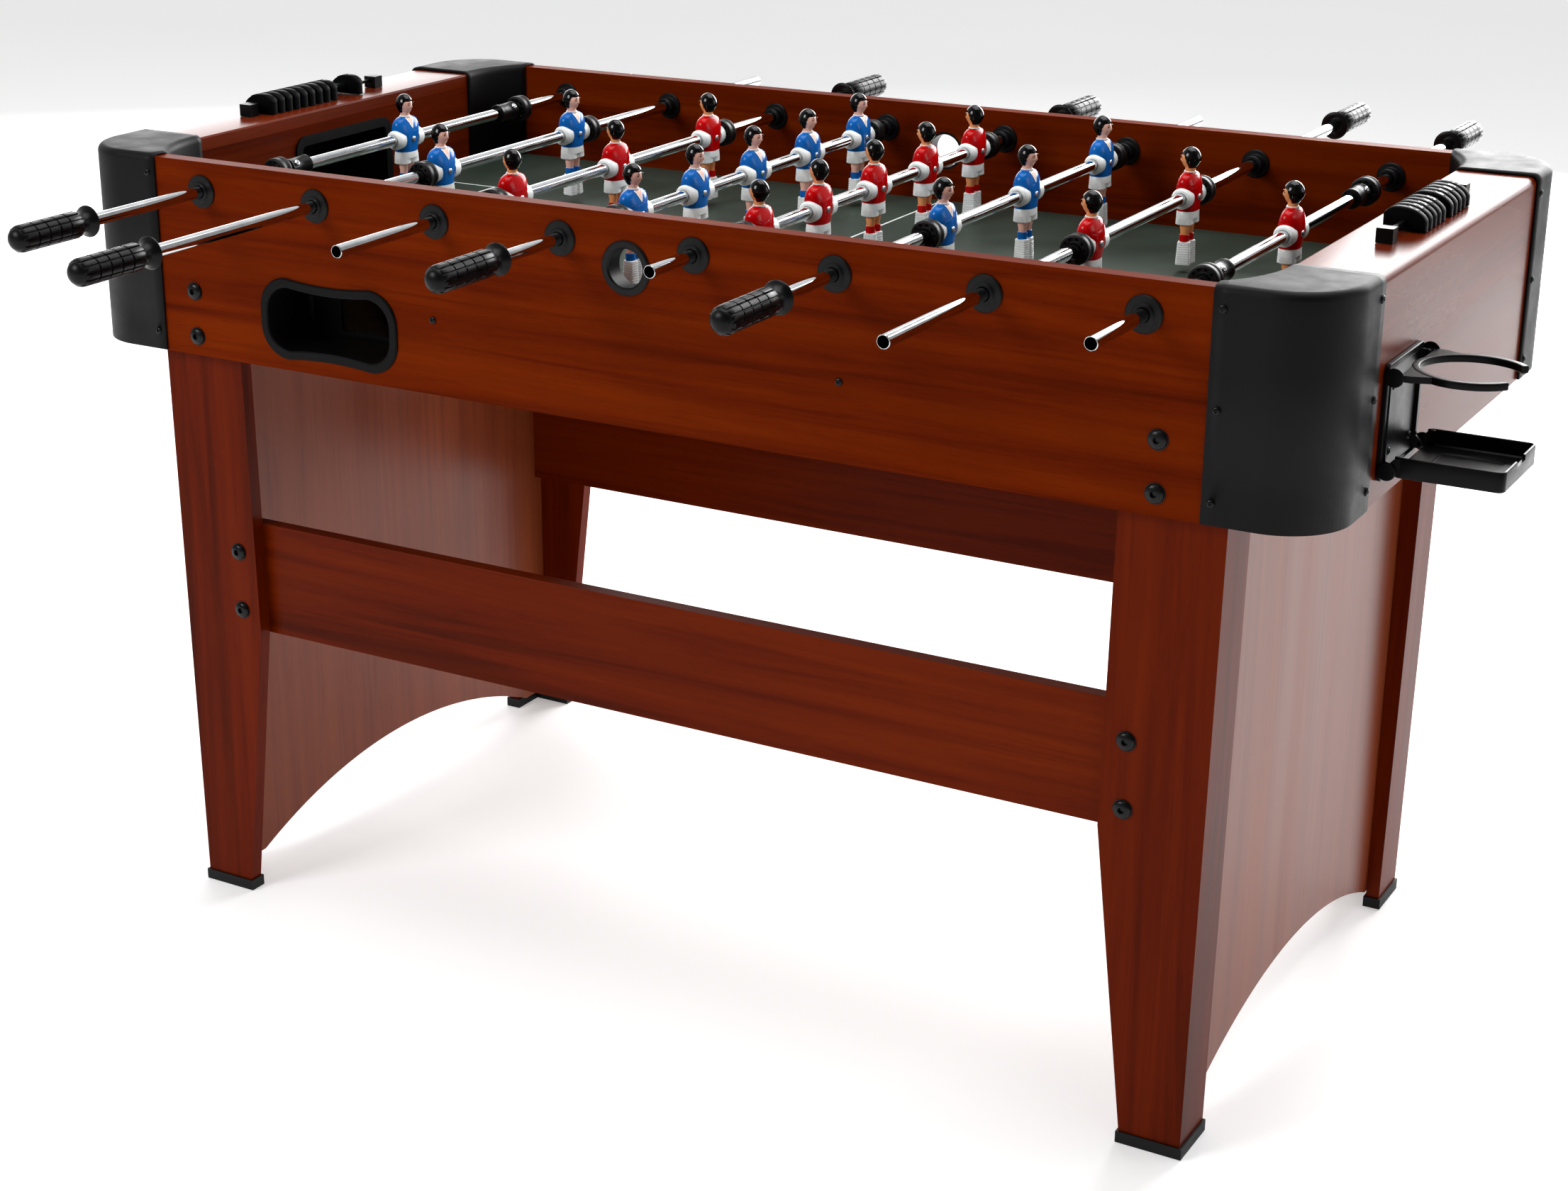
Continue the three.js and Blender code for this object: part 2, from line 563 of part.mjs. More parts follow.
// arched panel between the two legs at +X
function legPanel() {
  const halfWidth = LEG_BACK_Y - GAP;
  const panelTop = BOX_BOTTOM + LEG_PANEL_RISE;
  const half = LEG_FACE_Y - LEG_RETURN - ARCH_SHOULDER;
  const radius = (half ** 2 + ARCH_RISE ** 2) / (2 * ARCH_RISE);
  const sweep = Math.asin(half / radius);
  const centreZ = LEG_PANEL_FOOT + ARCH_RISE - radius;
  const outline = new THREE.Shape();
  outline.moveTo(halfWidth, LEG_PANEL_FOOT);
  outline.lineTo(halfWidth, panelTop);
  outline.lineTo(-halfWidth, panelTop);
  outline.lineTo(-halfWidth, LEG_PANEL_FOOT);
  outline.absarc(0, centreZ, radius, TURN / 4 + sweep, TURN / 4 - sweep, true);
  return carryX(outline, LEG_PANEL_X - LEG_BOARD, LEG_PANEL_X, 3 * CORNER_STEPS);
}

function stretcher() {
  const halfLength = LEG_PANEL_X - LEG_BOARD - GAP;
  return block([-halfLength, halfLength], [LEG_BACK_Y - GAP - STRETCHER_BOARD, LEG_BACK_Y - GAP],
    [STRETCHER_BOTTOM, STRETCHER_BOTTOM + STRETCHER_HEIGHT]);
}

// ---- Rods and men -------------------------------------------------------------------------------

// one man on the rod axis, looking along +X
function man() {
  const shirt = carryX(shapeOf([
    [-MAN_CHEST_HALF, -MAN_SHIRT_BOTTOM],
    [MAN_CHEST_HALF, -MAN_SHIRT_BOTTOM],
    [MAN_CHEST_HALF, MAN_SHOULDER],
    [MAN_SHOULDER_HALF, MAN_SHIRT_TOP],
    [-MAN_SHOULDER_HALF, MAN_SHIRT_TOP],
    [-MAN_CHEST_HALF, MAN_SHOULDER],
  ]), -MAN_CHEST_DEPTH, MAN_CHEST_DEPTH);
  const headMiddle = MAN_HEAD_TOP - MAN_HEAD_RADIUS;
  const head = solidOf(new THREE.IcosahedronGeometry(MAN_HEAD_RADIUS, 0).translate(0, 0, headMiddle));
  const neck = block([-MAN_NECK_HALF, MAN_NECK_HALF], [-MAN_NECK_HALF, MAN_NECK_HALF],
    [MAN_SHIRT_TOP - 1, headMiddle]);
  const shorts = block([-MAN_HIP_DEPTH, MAN_HIP_DEPTH], [-MAN_HIP_HALF, MAN_HIP_HALF],
    [-MAN_SHORTS_BOTTOM, -MAN_SHIRT_BOTTOM + 1]);
  const legs = block([-MAN_LEG_DEPTH, MAN_LEG_DEPTH], [-MAN_LEG_HALF, MAN_LEG_HALF],
    [-MAN_FOOT_TOP - 1, -MAN_SHORTS_BOTTOM + 1]);
  const feet = block([-MAN_FOOT_DEPTH, MAN_FOOT_DEPTH], [-MAN_FOOT_HALF, MAN_FOOT_HALF],
    [-MAN_FOOT_BOTTOM, -MAN_FOOT_TOP]);
  const sleeves = bar(MAN_SLEEVE_RADIUS, -MAN_SLEEVE_HALF, MAN_SLEEVE_HALF);
  return join([shirt, head, neck, shorts, legs, feet, sleeves]);
}

// outer face of the last thing fixed on a rod, which the bumper rings run up against
const stopFace = (count) => INNER_Y - BEARING_STUB - RING_LENGTH - 2 * GAP - ROD_TRAVEL[count];

// where each man stands along a rod that is in the middle
function menPlaces(count) {
  if (count === 1) {
    return [0];
  }
  const last = stopFace(count) - MAN_SLEEVE_HALF;
  return Array.from({ length: count }, (_, index) => last * (2 * index / (count - 1) - 1));
}

// rod tube with what is fixed on it; out is +1 when the handle is at +Y
function rod({ team, men }) {
  const { facing, handleSide: out } = TEAMS[team];
  const travel = ROD_TRAVEL[men];
  const handleEnd = SIDE_Y + HANDLE_CLEAR + travel + HANDLE_BORE_DEPTH - GAP;
  const tailEnd = SIDE_Y + ROD_TAIL + travel;
  const ringFrom = stopFace(men) - 1;
  const fixed = [
    bar(ROD_RADIUS, -out * tailEnd, out * handleEnd),
    bar(RING_RADIUS, -out * ringFrom, -out * (ringFrom + 1 + RING_LENGTH)),
    ...menPlaces(men).map((y) => man().scale([facing, 1, 1]).translate([0, y, 0])),
  ];
  if (men === 1) {
    const collarTo = stopFace(men);
    [-1, 1].forEach((side) => fixed.push(
      bar(COLLAR_RADIUS, side * (collarTo - COLLAR_LENGTH), side * collarTo),
    ));
  }
  const bore = bar(ROD_RADIUS - ROD_TUBE_WALL, -tailEnd - HANDLE_LENGTH - travel,
    tailEnd + HANDLE_LENGTH + travel);
  return join(fixed).subtract(bore);
}

// loose rubber ring on the handle's side, free to turn on the rod
function bumperRing({ team, men }) {
  const out = TEAMS[team].handleSide;
  const from = stopFace(men) + GAP;
  const ring = bar(RING_RADIUS, out * from, out * (from + RING_LENGTH));
  const hole = bar(holeRadius(ROD_RADIUS, RUNNING_GAP), out * (from - 1), out * (from + RING_LENGTH + 1));
  return ring.subtract(hole);
}

function handle({ team, men }) {
  const out = TEAMS[team].handleSide;
  const bore = holeRadius(ROD_RADIUS, GAP);
  const gripFrom = HANDLE_DISC_THICK + HANDLE_NECK_LENGTH;
  const profile = [
    [0, HANDLE_BORE_DEPTH],
    [bore, HANDLE_BORE_DEPTH],
    [bore, 0],
    [HANDLE_DISC, 0],
    [HANDLE_DISC, HANDLE_DISC_THICK],
    [HANDLE_NECK, HANDLE_DISC_THICK],
    [HANDLE_NECK, gripFrom - HANDLE_SHOULDER],
    [HANDLE_RADIUS, gripFrom],
    [HANDLE_RADIUS, HANDLE_LENGTH - HANDLE_DOME],
    [HANDLE_NECK, HANDLE_LENGTH - HANDLE_DOME_EDGE],
    [0, HANDLE_LENGTH],
  ];
  const geometry = new THREE.LatheGeometry(profile.map(([r, y]) => new THREE.Vector2(r, y)), ROUND);
  geometry.rotateY(Math.PI / ROUND);
  geometry.translate(0, SIDE_Y + HANDLE_CLEAR + ROD_TRAVEL[men], 0);
  return solidOf(geometry).scale([1, out, 1]);
}

// ---- Score counters -----------------------------------------------------------------------------

const SCORE_Z = RIM_TOP + SCORE_RAIL_HEIGHT;
const SCORE_MIDDLE_X = END_X - SCORE_X;

function scoreRail() {
  const ends = [-1, 1].map((side) => block(
    [SCORE_MIDDLE_X - SCORE_BLOCK_WIDTH / 2, SCORE_MIDDLE_X + SCORE_BLOCK_WIDTH / 2],
    [side * (SCORE_RAIL_HALF - SCORE_BLOCK), side * SCORE_RAIL_HALF],
    [RIM_TOP + GAP, RIM_TOP + SCORE_BLOCK_HEIGHT],
  ));
  const rail = bar(SCORE_RAIL_RADIUS, 1 - SCORE_RAIL_HALF, SCORE_RAIL_HALF - 1,
    SCORE_MIDDLE_X, SCORE_Z, ROUND / 2);
  return join([...ends, rail]);
}

// where each counter starts along its rail
function beadPlaces({ first, groups, space }) {
  const places = [];
  let from = first;
  groups.forEach((count) => {
    for (let index = 0; index < count; index += 1) {
      places.push(from + index * BEAD_PITCH);
    }
    from += count * BEAD_PITCH + space;
  });
  return places;
}

function scoreCounters(score) {
  const places = beadPlaces(score);
  const outline = new THREE.Shape();
  const foot = RIM_TOP + 2 * GAP;
  const half = BEAD_WIDTH / 2;
  outline.moveTo(-half, foot);
  outline.lineTo(half, foot);
  outline.absellipse(-BEAD_CREST, foot + BEAD_OUTER, half + BEAD_CREST, BEAD_HEIGHT - BEAD_OUTER,
    0, TURN / 4);
  outline.absellipse(-BEAD_CREST, foot + BEAD_INNER, half - BEAD_CREST, BEAD_HEIGHT - BEAD_INNER,
    TURN / 4, TURN / 2);
  const beads = places.map((y) => carry(outline, y, y + BEAD_THICK, BEAD_STEPS)
    .translate([SCORE_MIDDLE_X, 0, 0]));
  const sleeve = bar(BEAD_SLEEVE, places[0] + 1, places.at(-1) + BEAD_THICK - 1, SCORE_MIDDLE_X,
    SCORE_Z, ROUND / 2);
  const bore = bar(holeRadius(SCORE_RAIL_RADIUS, RUNNING_GAP), -SCORE_RAIL_HALF, SCORE_RAIL_HALF,
    SCORE_MIDDLE_X, SCORE_Z, ROUND / 2);
  return join([...beads, sleeve]).subtract(bore);
}

// ---- Folding cup holder -------------------------------------------------------------------------

const HOLDER_HALF = HOLDER_WIDTH / 2;
const HOLDER_Y = HOLDER_FROM_SIDE - SIDE_Y;
const HOLDER_TOP = RIM_TOP - HOLDER_DROP;
const HOLDER_BOTTOM = HOLDER_TOP - HOLDER_HEIGHT;
const HINGE_X = END_X + HINGE_OUT;
const RING_HINGE_Z = HOLDER_TOP - RING_HINGE_DROP;
const TRAY_HINGE_Z = HOLDER_BOTTOM + TRAY_HINGE_RISE;
const EAR_OUT = HOLDER_HALF - HOLDER_ARM - GAP;
const BEFORE_EARS = HINGE_X + HOLDER_EYE + 2 * GAP;

const armSpans = [-1, 1].map((side) => [side * HOLDER_HALF, side * (HOLDER_HALF - HOLDER_ARM)]);

// ear outline (x, z): rounded round each hinge and drawn in between, so that the tray swings clear
function earOutline() {
  const backX = END_X + HOLDER_PLATE / 2;
  const waistX = END_X + HOLDER_EAR_WAIST;
  const shape = new THREE.Shape();
  shape.moveTo(backX, RING_HINGE_Z + HOLDER_EYE);
  shape.lineTo(backX, TRAY_HINGE_Z - HOLDER_EYE);
  shape.absarc(HINGE_X, TRAY_HINGE_Z, HOLDER_EYE, -TURN / 4, TURN / 4);
  shape.lineTo(waistX, TRAY_HINGE_Z + 2 * HOLDER_EYE);
  shape.lineTo(waistX, RING_HINGE_Z - 2 * HOLDER_EYE);
  shape.absarc(HINGE_X, RING_HINGE_Z, HOLDER_EYE, -TURN / 4, TURN / 4);
  return shape;
}

function holderBracket() {
  const plate = block([END_X + GAP, END_X + HOLDER_PLATE], [-HOLDER_HALF, HOLDER_HALF],
    [HOLDER_BOTTOM, HOLDER_TOP]);
  const ears = [-1, 1].map((side) => carry(earOutline(), side * EAR_OUT, side * (EAR_OUT - HOLDER_EAR)));
  const pins = [RING_HINGE_Z, TRAY_HINGE_Z].flatMap((z) => [-1, 1].map((side) => bar(HOLDER_PIN,
    side * (EAR_OUT - 1), side * HOLDER_HALF, HINGE_X, z)));
  return join([plate, ...ears, ...pins]).translate([0, HOLDER_Y, 0]);
}

const pinHole = (z) => bar(holeRadius(HOLDER_PIN, GAP), -HOLDER_HALF - 1, HOLDER_HALF + 1, HINGE_X, z);

// open ring at its lowered place, with an arm to each ear
function holderRing() {
  const mouth = RING_MOUTH * TURN / 360;
  const outer = RING_OPEN_RADIUS + RING_BAND;
  const band = new THREE.Shape();
  band.absarc(0, 0, outer, mouth, TURN - mouth);
  band.absarc(0, 0, RING_OPEN_RADIUS, TURN - mouth, mouth, true);
  const zSpan = [RING_HINGE_Z - RING_HEIGHT / 2, RING_HINGE_Z + RING_HEIGHT / 2];
  const behindEars = block([0, BEFORE_EARS], [-EAR_OUT - GAP, EAR_OUT + GAP], [0, RIM_TOP]);
  const ring = raise(band, ...zSpan, 3 * CORNER_STEPS).translate([END_X + RING_OUT, 0, 0]);
  const arms = armSpans.map((span) => block([HINGE_X - RING_HEIGHT / 2, END_X + RING_BRIDGE], span, zSpan));
  const bridge = block([BEFORE_EARS, END_X + RING_BRIDGE], [-HOLDER_HALF, HOLDER_HALF], zSpan);
  const openSpace = raise(new THREE.Shape().absarc(0, 0, RING_OPEN_RADIUS, 0, TURN), 0, RIM_TOP,
    3 * CORNER_STEPS).translate([END_X + RING_OUT, 0, 0]);
  const whole = join([ring.subtract(behindEars), ...arms, bridge]);
  const behindArms = block([0, HINGE_X - RING_HEIGHT / 2], [-WIDTH, WIDTH], [0, RIM_TOP]);
  return cut(whole, [openSpace, behindArms, pinHole(RING_HINGE_Z)]).translate([0, HOLDER_Y, 0]);
}

// shallow tray at its lowered place
function holderTray() {
  const floor = TRAY_HINGE_Z - TRAY_UNDER;
  const pan = block([BEFORE_EARS, END_X + TRAY_REACH], [-HOLDER_HALF, HOLDER_HALF],
    [floor, floor + TRAY_HEIGHT]);
  const well = block([BEFORE_EARS - 1, END_X + TRAY_REACH - TRAY_RIM],
    [-HOLDER_HALF + TRAY_RIM, HOLDER_HALF - TRAY_RIM], [floor + TRAY_FLOOR, floor + TRAY_HEIGHT + 1]);
  const arms = armSpans.map((span) => block([HINGE_X - TRAY_ARM_HALF, BEFORE_EARS + HOLDER_ARM], span,
    [TRAY_HINGE_Z - TRAY_ARM_HALF, TRAY_HINGE_Z + TRAY_ARM_HALF]));
  return cut(join([pan, ...arms]), [well, pinHole(TRAY_HINGE_Z)]).translate([0, HOLDER_Y, 0]);
}

// ---- Assembly -----------------------------------------------------------------------------------

SIDES.forEach((side) => {
  // seen from the front, the front cup is at the left and the back one at the right
  const cupX = side.flipY ? -CUP_X : CUP_X;
  addPiece(`side_panel_${side.name}`, sidePanel(cupX), 'laminate', side);
  addPiece(`return_cup_${side.name}`, returnCup(), 'plastic', { flipX: side.flipY, flipY: side.flipY });
  addPiece(`serving_ring_${side.name}`, servingRing(), 'plastic', side);
  addPiece(`stretcher_${side.name}`, stretcher(), 'laminate', side);
});

ENDS.forEach((end) => {
  addPiece(`end_box_${end.name}`, endBox(), 'laminate', end);
  addPiece(`goal_wall_${end.name}`, goalWall(), 'laminate', end);
  addPiece(`goal_liner_${end.name}`, goalLiner(), 'plastic', { flipX: end.flipX, flipY: end.flipX });
  addPiece(`leg_panel_${end.name}`, legPanel(), 'laminate', end);
  addPiece(`score_rail_${end.name}`, scoreRail(), 'plastic', end);
  addPiece(`score_counters_${end.name}`, scoreCounters(SCORES[end.name]), 'plastic', end);
});

SIDES.forEach((side) => ENDS.forEach((end) => {
  const flips = { flipX: end.flipX, flipY: side.flipY };
  addPiece(`corner_cap_${side.name}_${end.name}`, cornerCap(), 'plastic', flips);
  addPiece(`leg_${side.name}_${end.name}`, leg(), 'laminate', flips);
  addPiece(`foot_${side.name}_${end.name}`, foot(), 'rubber', flips);
}));

addPiece('playfield', playfield(), 'field');

LINES.forEach((line, index) => {
  const at = [rodX(index), line.rest, ROD_Z];
  addPiece(`rod_${index + 1}`, rod(line).translate(at), 'chrome');
  addPiece(`bumper_ring_${index + 1}`, bumperRing(line).translate(at), 'rubber');
  addPiece(`handle_${index + 1}`, handle(line).translate(at), 'rubber');
});

addPiece('cup_holder_bracket', holderBracket(), 'plastic');
addPiece('cup_holder_ring', holderRing(), 'plastic');
addPiece('cup_holder_tray', holderTray(), 'plastic');

// the origin is on the floor below the middle of the whole object
const bounds = new THREE.Box3().setFromObject(table);
const middle = bounds.getCenter(new THREE.Vector3());
table.position.set(-middle.x, -middle.y, -bounds.min.z);

export default table;
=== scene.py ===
import json
import math

import bmesh
import bpy
from mathutils import Matrix, Vector


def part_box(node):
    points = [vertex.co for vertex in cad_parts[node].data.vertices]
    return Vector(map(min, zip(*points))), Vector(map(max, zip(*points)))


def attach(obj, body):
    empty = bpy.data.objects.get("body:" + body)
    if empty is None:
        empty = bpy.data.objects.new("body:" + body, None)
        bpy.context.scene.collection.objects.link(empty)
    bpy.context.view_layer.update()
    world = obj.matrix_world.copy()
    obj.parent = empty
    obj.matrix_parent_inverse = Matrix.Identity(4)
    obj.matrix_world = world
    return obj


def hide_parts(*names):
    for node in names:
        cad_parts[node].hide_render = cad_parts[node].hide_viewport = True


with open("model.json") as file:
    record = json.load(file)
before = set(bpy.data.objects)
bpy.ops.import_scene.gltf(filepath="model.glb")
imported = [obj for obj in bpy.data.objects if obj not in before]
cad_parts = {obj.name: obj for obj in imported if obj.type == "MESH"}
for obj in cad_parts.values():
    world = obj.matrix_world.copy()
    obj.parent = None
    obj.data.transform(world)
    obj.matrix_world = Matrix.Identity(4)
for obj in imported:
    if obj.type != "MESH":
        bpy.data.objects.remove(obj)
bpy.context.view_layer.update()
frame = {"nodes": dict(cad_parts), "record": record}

# Lengths are written in millimetres and turned into metres as meshes are made.
# Shapes are (points, faces) pairs about the table's middle, or about a rod's own middle.
MM = 0.001
TURN = math.tau


# ---- Places from the frame ----------------------------------------------------------------------

def box_mm(node):
    low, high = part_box(node)
    return low / MM, high / MM


cap_low, cap_high = box_mm("corner_cap_back_right")
far_low, _ = box_mm("corner_cap_front_left")
field_low, field_high = box_mm("playfield")
MIDDLE = Vector(((cap_high.x + far_low.x) / 2, (cap_high.y + far_low.y) / 2, 0))
GAP = 0.3
CAP_WALL = 3
END_X = cap_high.x - MIDDLE.x - CAP_WALL
SIDE_Y = cap_high.y - MIDDLE.y - CAP_WALL
RIM = cap_high.z - CAP_WALL
CAP_ABOVE = 1
BOX_BOTTOM = cap_low.z - CAP_ABOVE
CAP_ALONG = cap_high.x - cap_low.x - CAP_WALL
CAP_ACROSS = cap_high.y - cap_low.y - CAP_WALL
FIELD = field_high.z
GOAL_X = (field_high.x - field_low.x) / 2 + GAP
INNER_Y = (field_high.y - field_low.y) / 2 + GAP
END_BOARD = 15
CORNER_RADIUS = 62
JOINTS = {joint["name"]: joint for joint in frame["record"]["behaviour"]["joints"]}
BEARING_STUB = 13
BEARING_SPOUT = 5
RING_LENGTH = 16
ROD_RADIUS = 6.4
TUBE_WALL = 0.9
ENDS = {"left": -1, "right": 1}
SIDES = {"front": -1, "back": 1}
LINES = [("blue", 1), ("blue", 2), ("red", 3), ("blue", 5), ("red", 5), ("blue", 3), ("red", 2), ("red", 1)]


# ---- Shapes -------------------------------------------------------------------------------------

def loft(rings, cap=True, loop=False, wrap=True):
    """Skin over rings of as many points each; loop joins the last ring to the first."""
    count = len(rings[0])
    points = [point for ring in rings for point in ring]
    faces = []
    for row in range(len(rings) if loop else len(rings) - 1):
        this, after = row * count, (row + 1) % len(rings) * count
        for i in range(count if wrap else count - 1):
            j = (i + 1) % count
            faces.append((this + i, this + j, after + j, after + i))
    if cap and not loop:
        faces.append(tuple(range(count)))
        faces.append(tuple(range(len(points) - count, len(points))))
    return points, faces


def lathe(profile, segments=48, loop=True):
    """A profile of (radius, y) turned about Y."""
    rings = []
    for radius, y in profile:
        angles = [TURN * i / segments for i in range(segments)]
        rings.append([(radius * math.cos(a), y, radius * math.sin(a)) for a in angles])
    return loft(rings, cap=False, loop=loop)


def slab(outline, low, high, axis="Z"):
    """An outline raised along an axis: (x, y) for Z, (x, z) for Y and (y, z) for X."""
    def at(u, v, w):
        return {"Z": (u, v, w), "Y": (u, w, v), "X": (w, u, v)}[axis]
    return loft([[at(u, v, w) for u, v in outline] for w in (low, high)])


def block(x, y, z):
    return slab([(x[0], y[0]), (x[1], y[0]), (x[1], y[1]), (x[0], y[1])], *z)


def arc(x, y, radius, start, stop, steps=8):
    """Points on a circle from one angle to another, in degrees."""
    angles = [math.radians(start + (stop - start) * i / steps) for i in range(steps + 1)]
    return [(x + radius * math.cos(a), y + radius * math.sin(a)) for a in angles]


def rounded(half_u, half_v, radius, steps=6):
    u, v = half_u - radius, half_v - radius
    return (arc(u, v, radius, 0, 90, steps) + arc(-u, v, radius, 90, 180, steps)
            + arc(-u, -v, radius, 180, 270, steps) + arc(u, -v, radius, 270, 360, steps))


def join(*shapes):
    points, faces = [], []
    for more, skin in shapes:
        start = len(points)
        points += list(more)
        faces += [tuple(start + i for i in face) for face in skin]
    return points, faces


def move(shape, x=0, y=0, z=0):
    return [(a + x, b + y, c + z) for a, b, c in shape[0]], shape[1]


def flip(shape, x=1, y=1):
    return [(a * x, b * y, c) for a, b, c in shape[0]], shape[1]


def place(shape, matrix):
    return [tuple(matrix @ Vector(point)) for point in shape[0]], shape[1]


def facing(normal, x, y, z):
    """A matrix that takes something made on Z = 0 to a place, facing along a normal."""
    turn = Vector(normal).to_track_quat("Z", "Y").to_matrix().to_4x4()
    return Matrix.Translation((x, y, z)) @ turn


def mesh_of(name, shape, crease=35):
    mesh = bpy.data.meshes.new(name)
    mesh.from_pydata([Vector(point) * MM for point in shape[0]], [], shape[1])
    work = bmesh.new()
    work.from_mesh(mesh)
    bmesh.ops.remove_doubles(work, verts=work.verts, dist=2e-6)
    bmesh.ops.dissolve_degenerate(work, edges=work.edges, dist=1e-6)
    bmesh.ops.recalc_face_normals(work, faces=work.faces)
    work.to_mesh(mesh)
    work.free()
    mesh.shade_smooth()
    mesh.set_sharp_from_angle(angle=math.radians(crease))
    return mesh


def soften(piece, width, segments=3):
    """Rounds a piece's sharp edges and keeps its flats flat."""
    modifier = piece.modifiers.new("soft_edges", "BEVEL")
    modifier.width = width * MM
    modifier.segments = segments
    modifier.limit_method = "ANGLE"
    modifier.angle_limit = math.radians(40)
    modifier.harden_normals = True


def build(name, shape, material, body, at=None, bevel=0, crease=35):
    """Adds a piece that rides on a body."""
    mesh = shape if isinstance(shape, bpy.types.Mesh) else mesh_of(name, shape, crease)
    piece = bpy.data.objects.new(name, mesh)
    bpy.context.collection.objects.link(piece)
    piece.location = (MIDDLE if at is None else at) * MM
    if not mesh.materials:
        mesh.materials.append(material)
    if bevel:
        soften(piece, bevel)
    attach(piece, body)
    return piece


def carve(piece, *cutters):
    """Cuts shapes out of a piece's mesh."""
    helpers = []
    for index, shape in enumerate(cutters):
        helper = bpy.data.objects.new(f"cutter_{index}", mesh_of("cutter", shape))
        bpy.context.collection.objects.link(helper)
        helper.location = MIDDLE * MM
        helpers.append(helper)
        modifier = piece.modifiers.new(f"cut_{index}", "BOOLEAN")
        modifier.operation = "DIFFERENCE"
        modifier.solver = "EXACT"
        modifier.object = helper
    graph = bpy.context.evaluated_depsgraph_get()
    cut_mesh = bpy.data.meshes.new_from_object(piece.evaluated_get(graph))
    piece.modifiers.clear()
    piece.data = cut_mesh
    for helper in helpers:
        bpy.data.objects.remove(helper)
    cut_mesh.shade_smooth()
    cut_mesh.set_sharp_from_angle(angle=math.radians(35))


# ---- Materials ----------------------------------------------------------------------------------

WHITE = (1, 1, 1)


def paint(code):
    """Linear colour of an sRGB hex code."""
    parts = [int(code[i:i + 2], 16) / 255 for i in (0, 2, 4)]
    return (*[((c + 0.055) / 1.055) ** 2.4 if c > 0.04045 else c / 12.92 for c in parts], 1)


def shader_of(name, **values):
    material = bpy.data.materials.new(name)
    material.use_nodes = True
    shader = material.node_tree.nodes["Principled BSDF"]
    for socket, value in values.items():
        shader.inputs[socket.replace("_", " ")].default_value = value
    return material, material.node_tree, shader


def node(tree, kind, inputs=None, **settings):
    made = tree.nodes.new("ShaderNode" + kind)
    for name, value in settings.items():
        setattr(made, name, value)
    for name, value in (inputs or {}).items():
        if isinstance(value, bpy.types.NodeSocket):
            tree.links.new(value, made.inputs[name])
        else:
            made.inputs[name].default_value = value
    return made


def mix(tree, factor, a, b, mode="MIX"):
    made = node(tree, "Mix", {0: factor, 6: a, 7: b}, data_type="RGBA", blend_type=mode)
    return made.outputs[2]


def ramp(tree, value, *stops):
    """Colour ramp; each stop is (position, colour)."""
    made = node(tree, "ValToRGB", {"Fac": value})
    elements = made.color_ramp.elements
    while len(elements) < len(stops):
        elements.new(0.5)
    for element, (position, colour) in zip(elements, stops):
        element.position = position
        element.color = colour if len(colour) == 4 else (*colour, 1)
    return made.outputs["Color"]


def spread(tree, value, low, high, out_low, out_high):
    made = node(tree, "MapRange", {"Value": value, "From Min": low, "From Max": high,
                                   "To Min": out_low, "To Max": out_high})
    return made.outputs["Result"]


def noise(tree, scale, detail=4, roughness=0.55, distortion=0):
    """Noise over the object's own coordinates, stretched by a scale for each axis."""
    where = node(tree, "TexCoord").outputs["Object"]
    mapped = node(tree, "Mapping", {"Vector": where, "Scale": scale}).outputs["Vector"]
    made = node(tree, "TexNoise", {"Vector": mapped, "Scale": 1, "Detail": detail,
                                   "Roughness": roughness, "Distortion": distortion})
    return made.outputs["Fac"]


def bump(tree, shader, height, distance, strength=1):
    made = node(tree, "Bump", {"Height": height, "Distance": distance * MM, "Strength": strength})
    tree.links.new(made.outputs["Normal"], shader.inputs["Normal"])


def laminate(name, along, dark, middle, light, gloss=0.3, film=0.04):
    """Mahogany print under a clear film, its grain along one axis."""
    material, tree, shader = shader_of(name, Specular_IOR_Level=film)
    axis = "XYZ".index(along)

    def stretched(with_grain, across):
        return [with_grain if i == axis else across for i in range(3)]
    broad = noise(tree, stretched(0.8, 7), 2, 0.5, 0.6)
    streaks = noise(tree, stretched(1.5, 34), 8, 0.62, 0.5)
    fine = noise(tree, stretched(3.5, 150), 4, 0.6, 0.3)
    pores = noise(tree, stretched(45, 1300), 2, 0.5)
    colour = ramp(tree, streaks, (0.22, paint(dark)), (0.45, paint(middle)), (0.78, paint(light)))
    shade = ramp(tree, broad, (0.3, (0.8, 0.76, 0.74)), (0.52, WHITE), (0.75, (1.08, 1.1, 1.04)))
    colour = mix(tree, 0.8, colour, shade, "MULTIPLY")
    threads = ramp(tree, fine, (0.34, (0.66, 0.58, 0.55)), (0.47, WHITE))
    colour = mix(tree, 0.45, colour, threads, "MULTIPLY")
    specks = ramp(tree, pores, (0.33, (0.6, 0.55, 0.5)), (0.45, WHITE))
    colour = mix(tree, 0.35, colour, specks, "MULTIPLY")
    tree.links.new(colour, shader.inputs["Base Color"])
    tree.links.new(spread(tree, broad, 0.3, 0.7, gloss - 0.04, gloss + 0.06), shader.inputs["Roughness"])
    bump(tree, shader, pores, 0.05, 0.3)
    return material


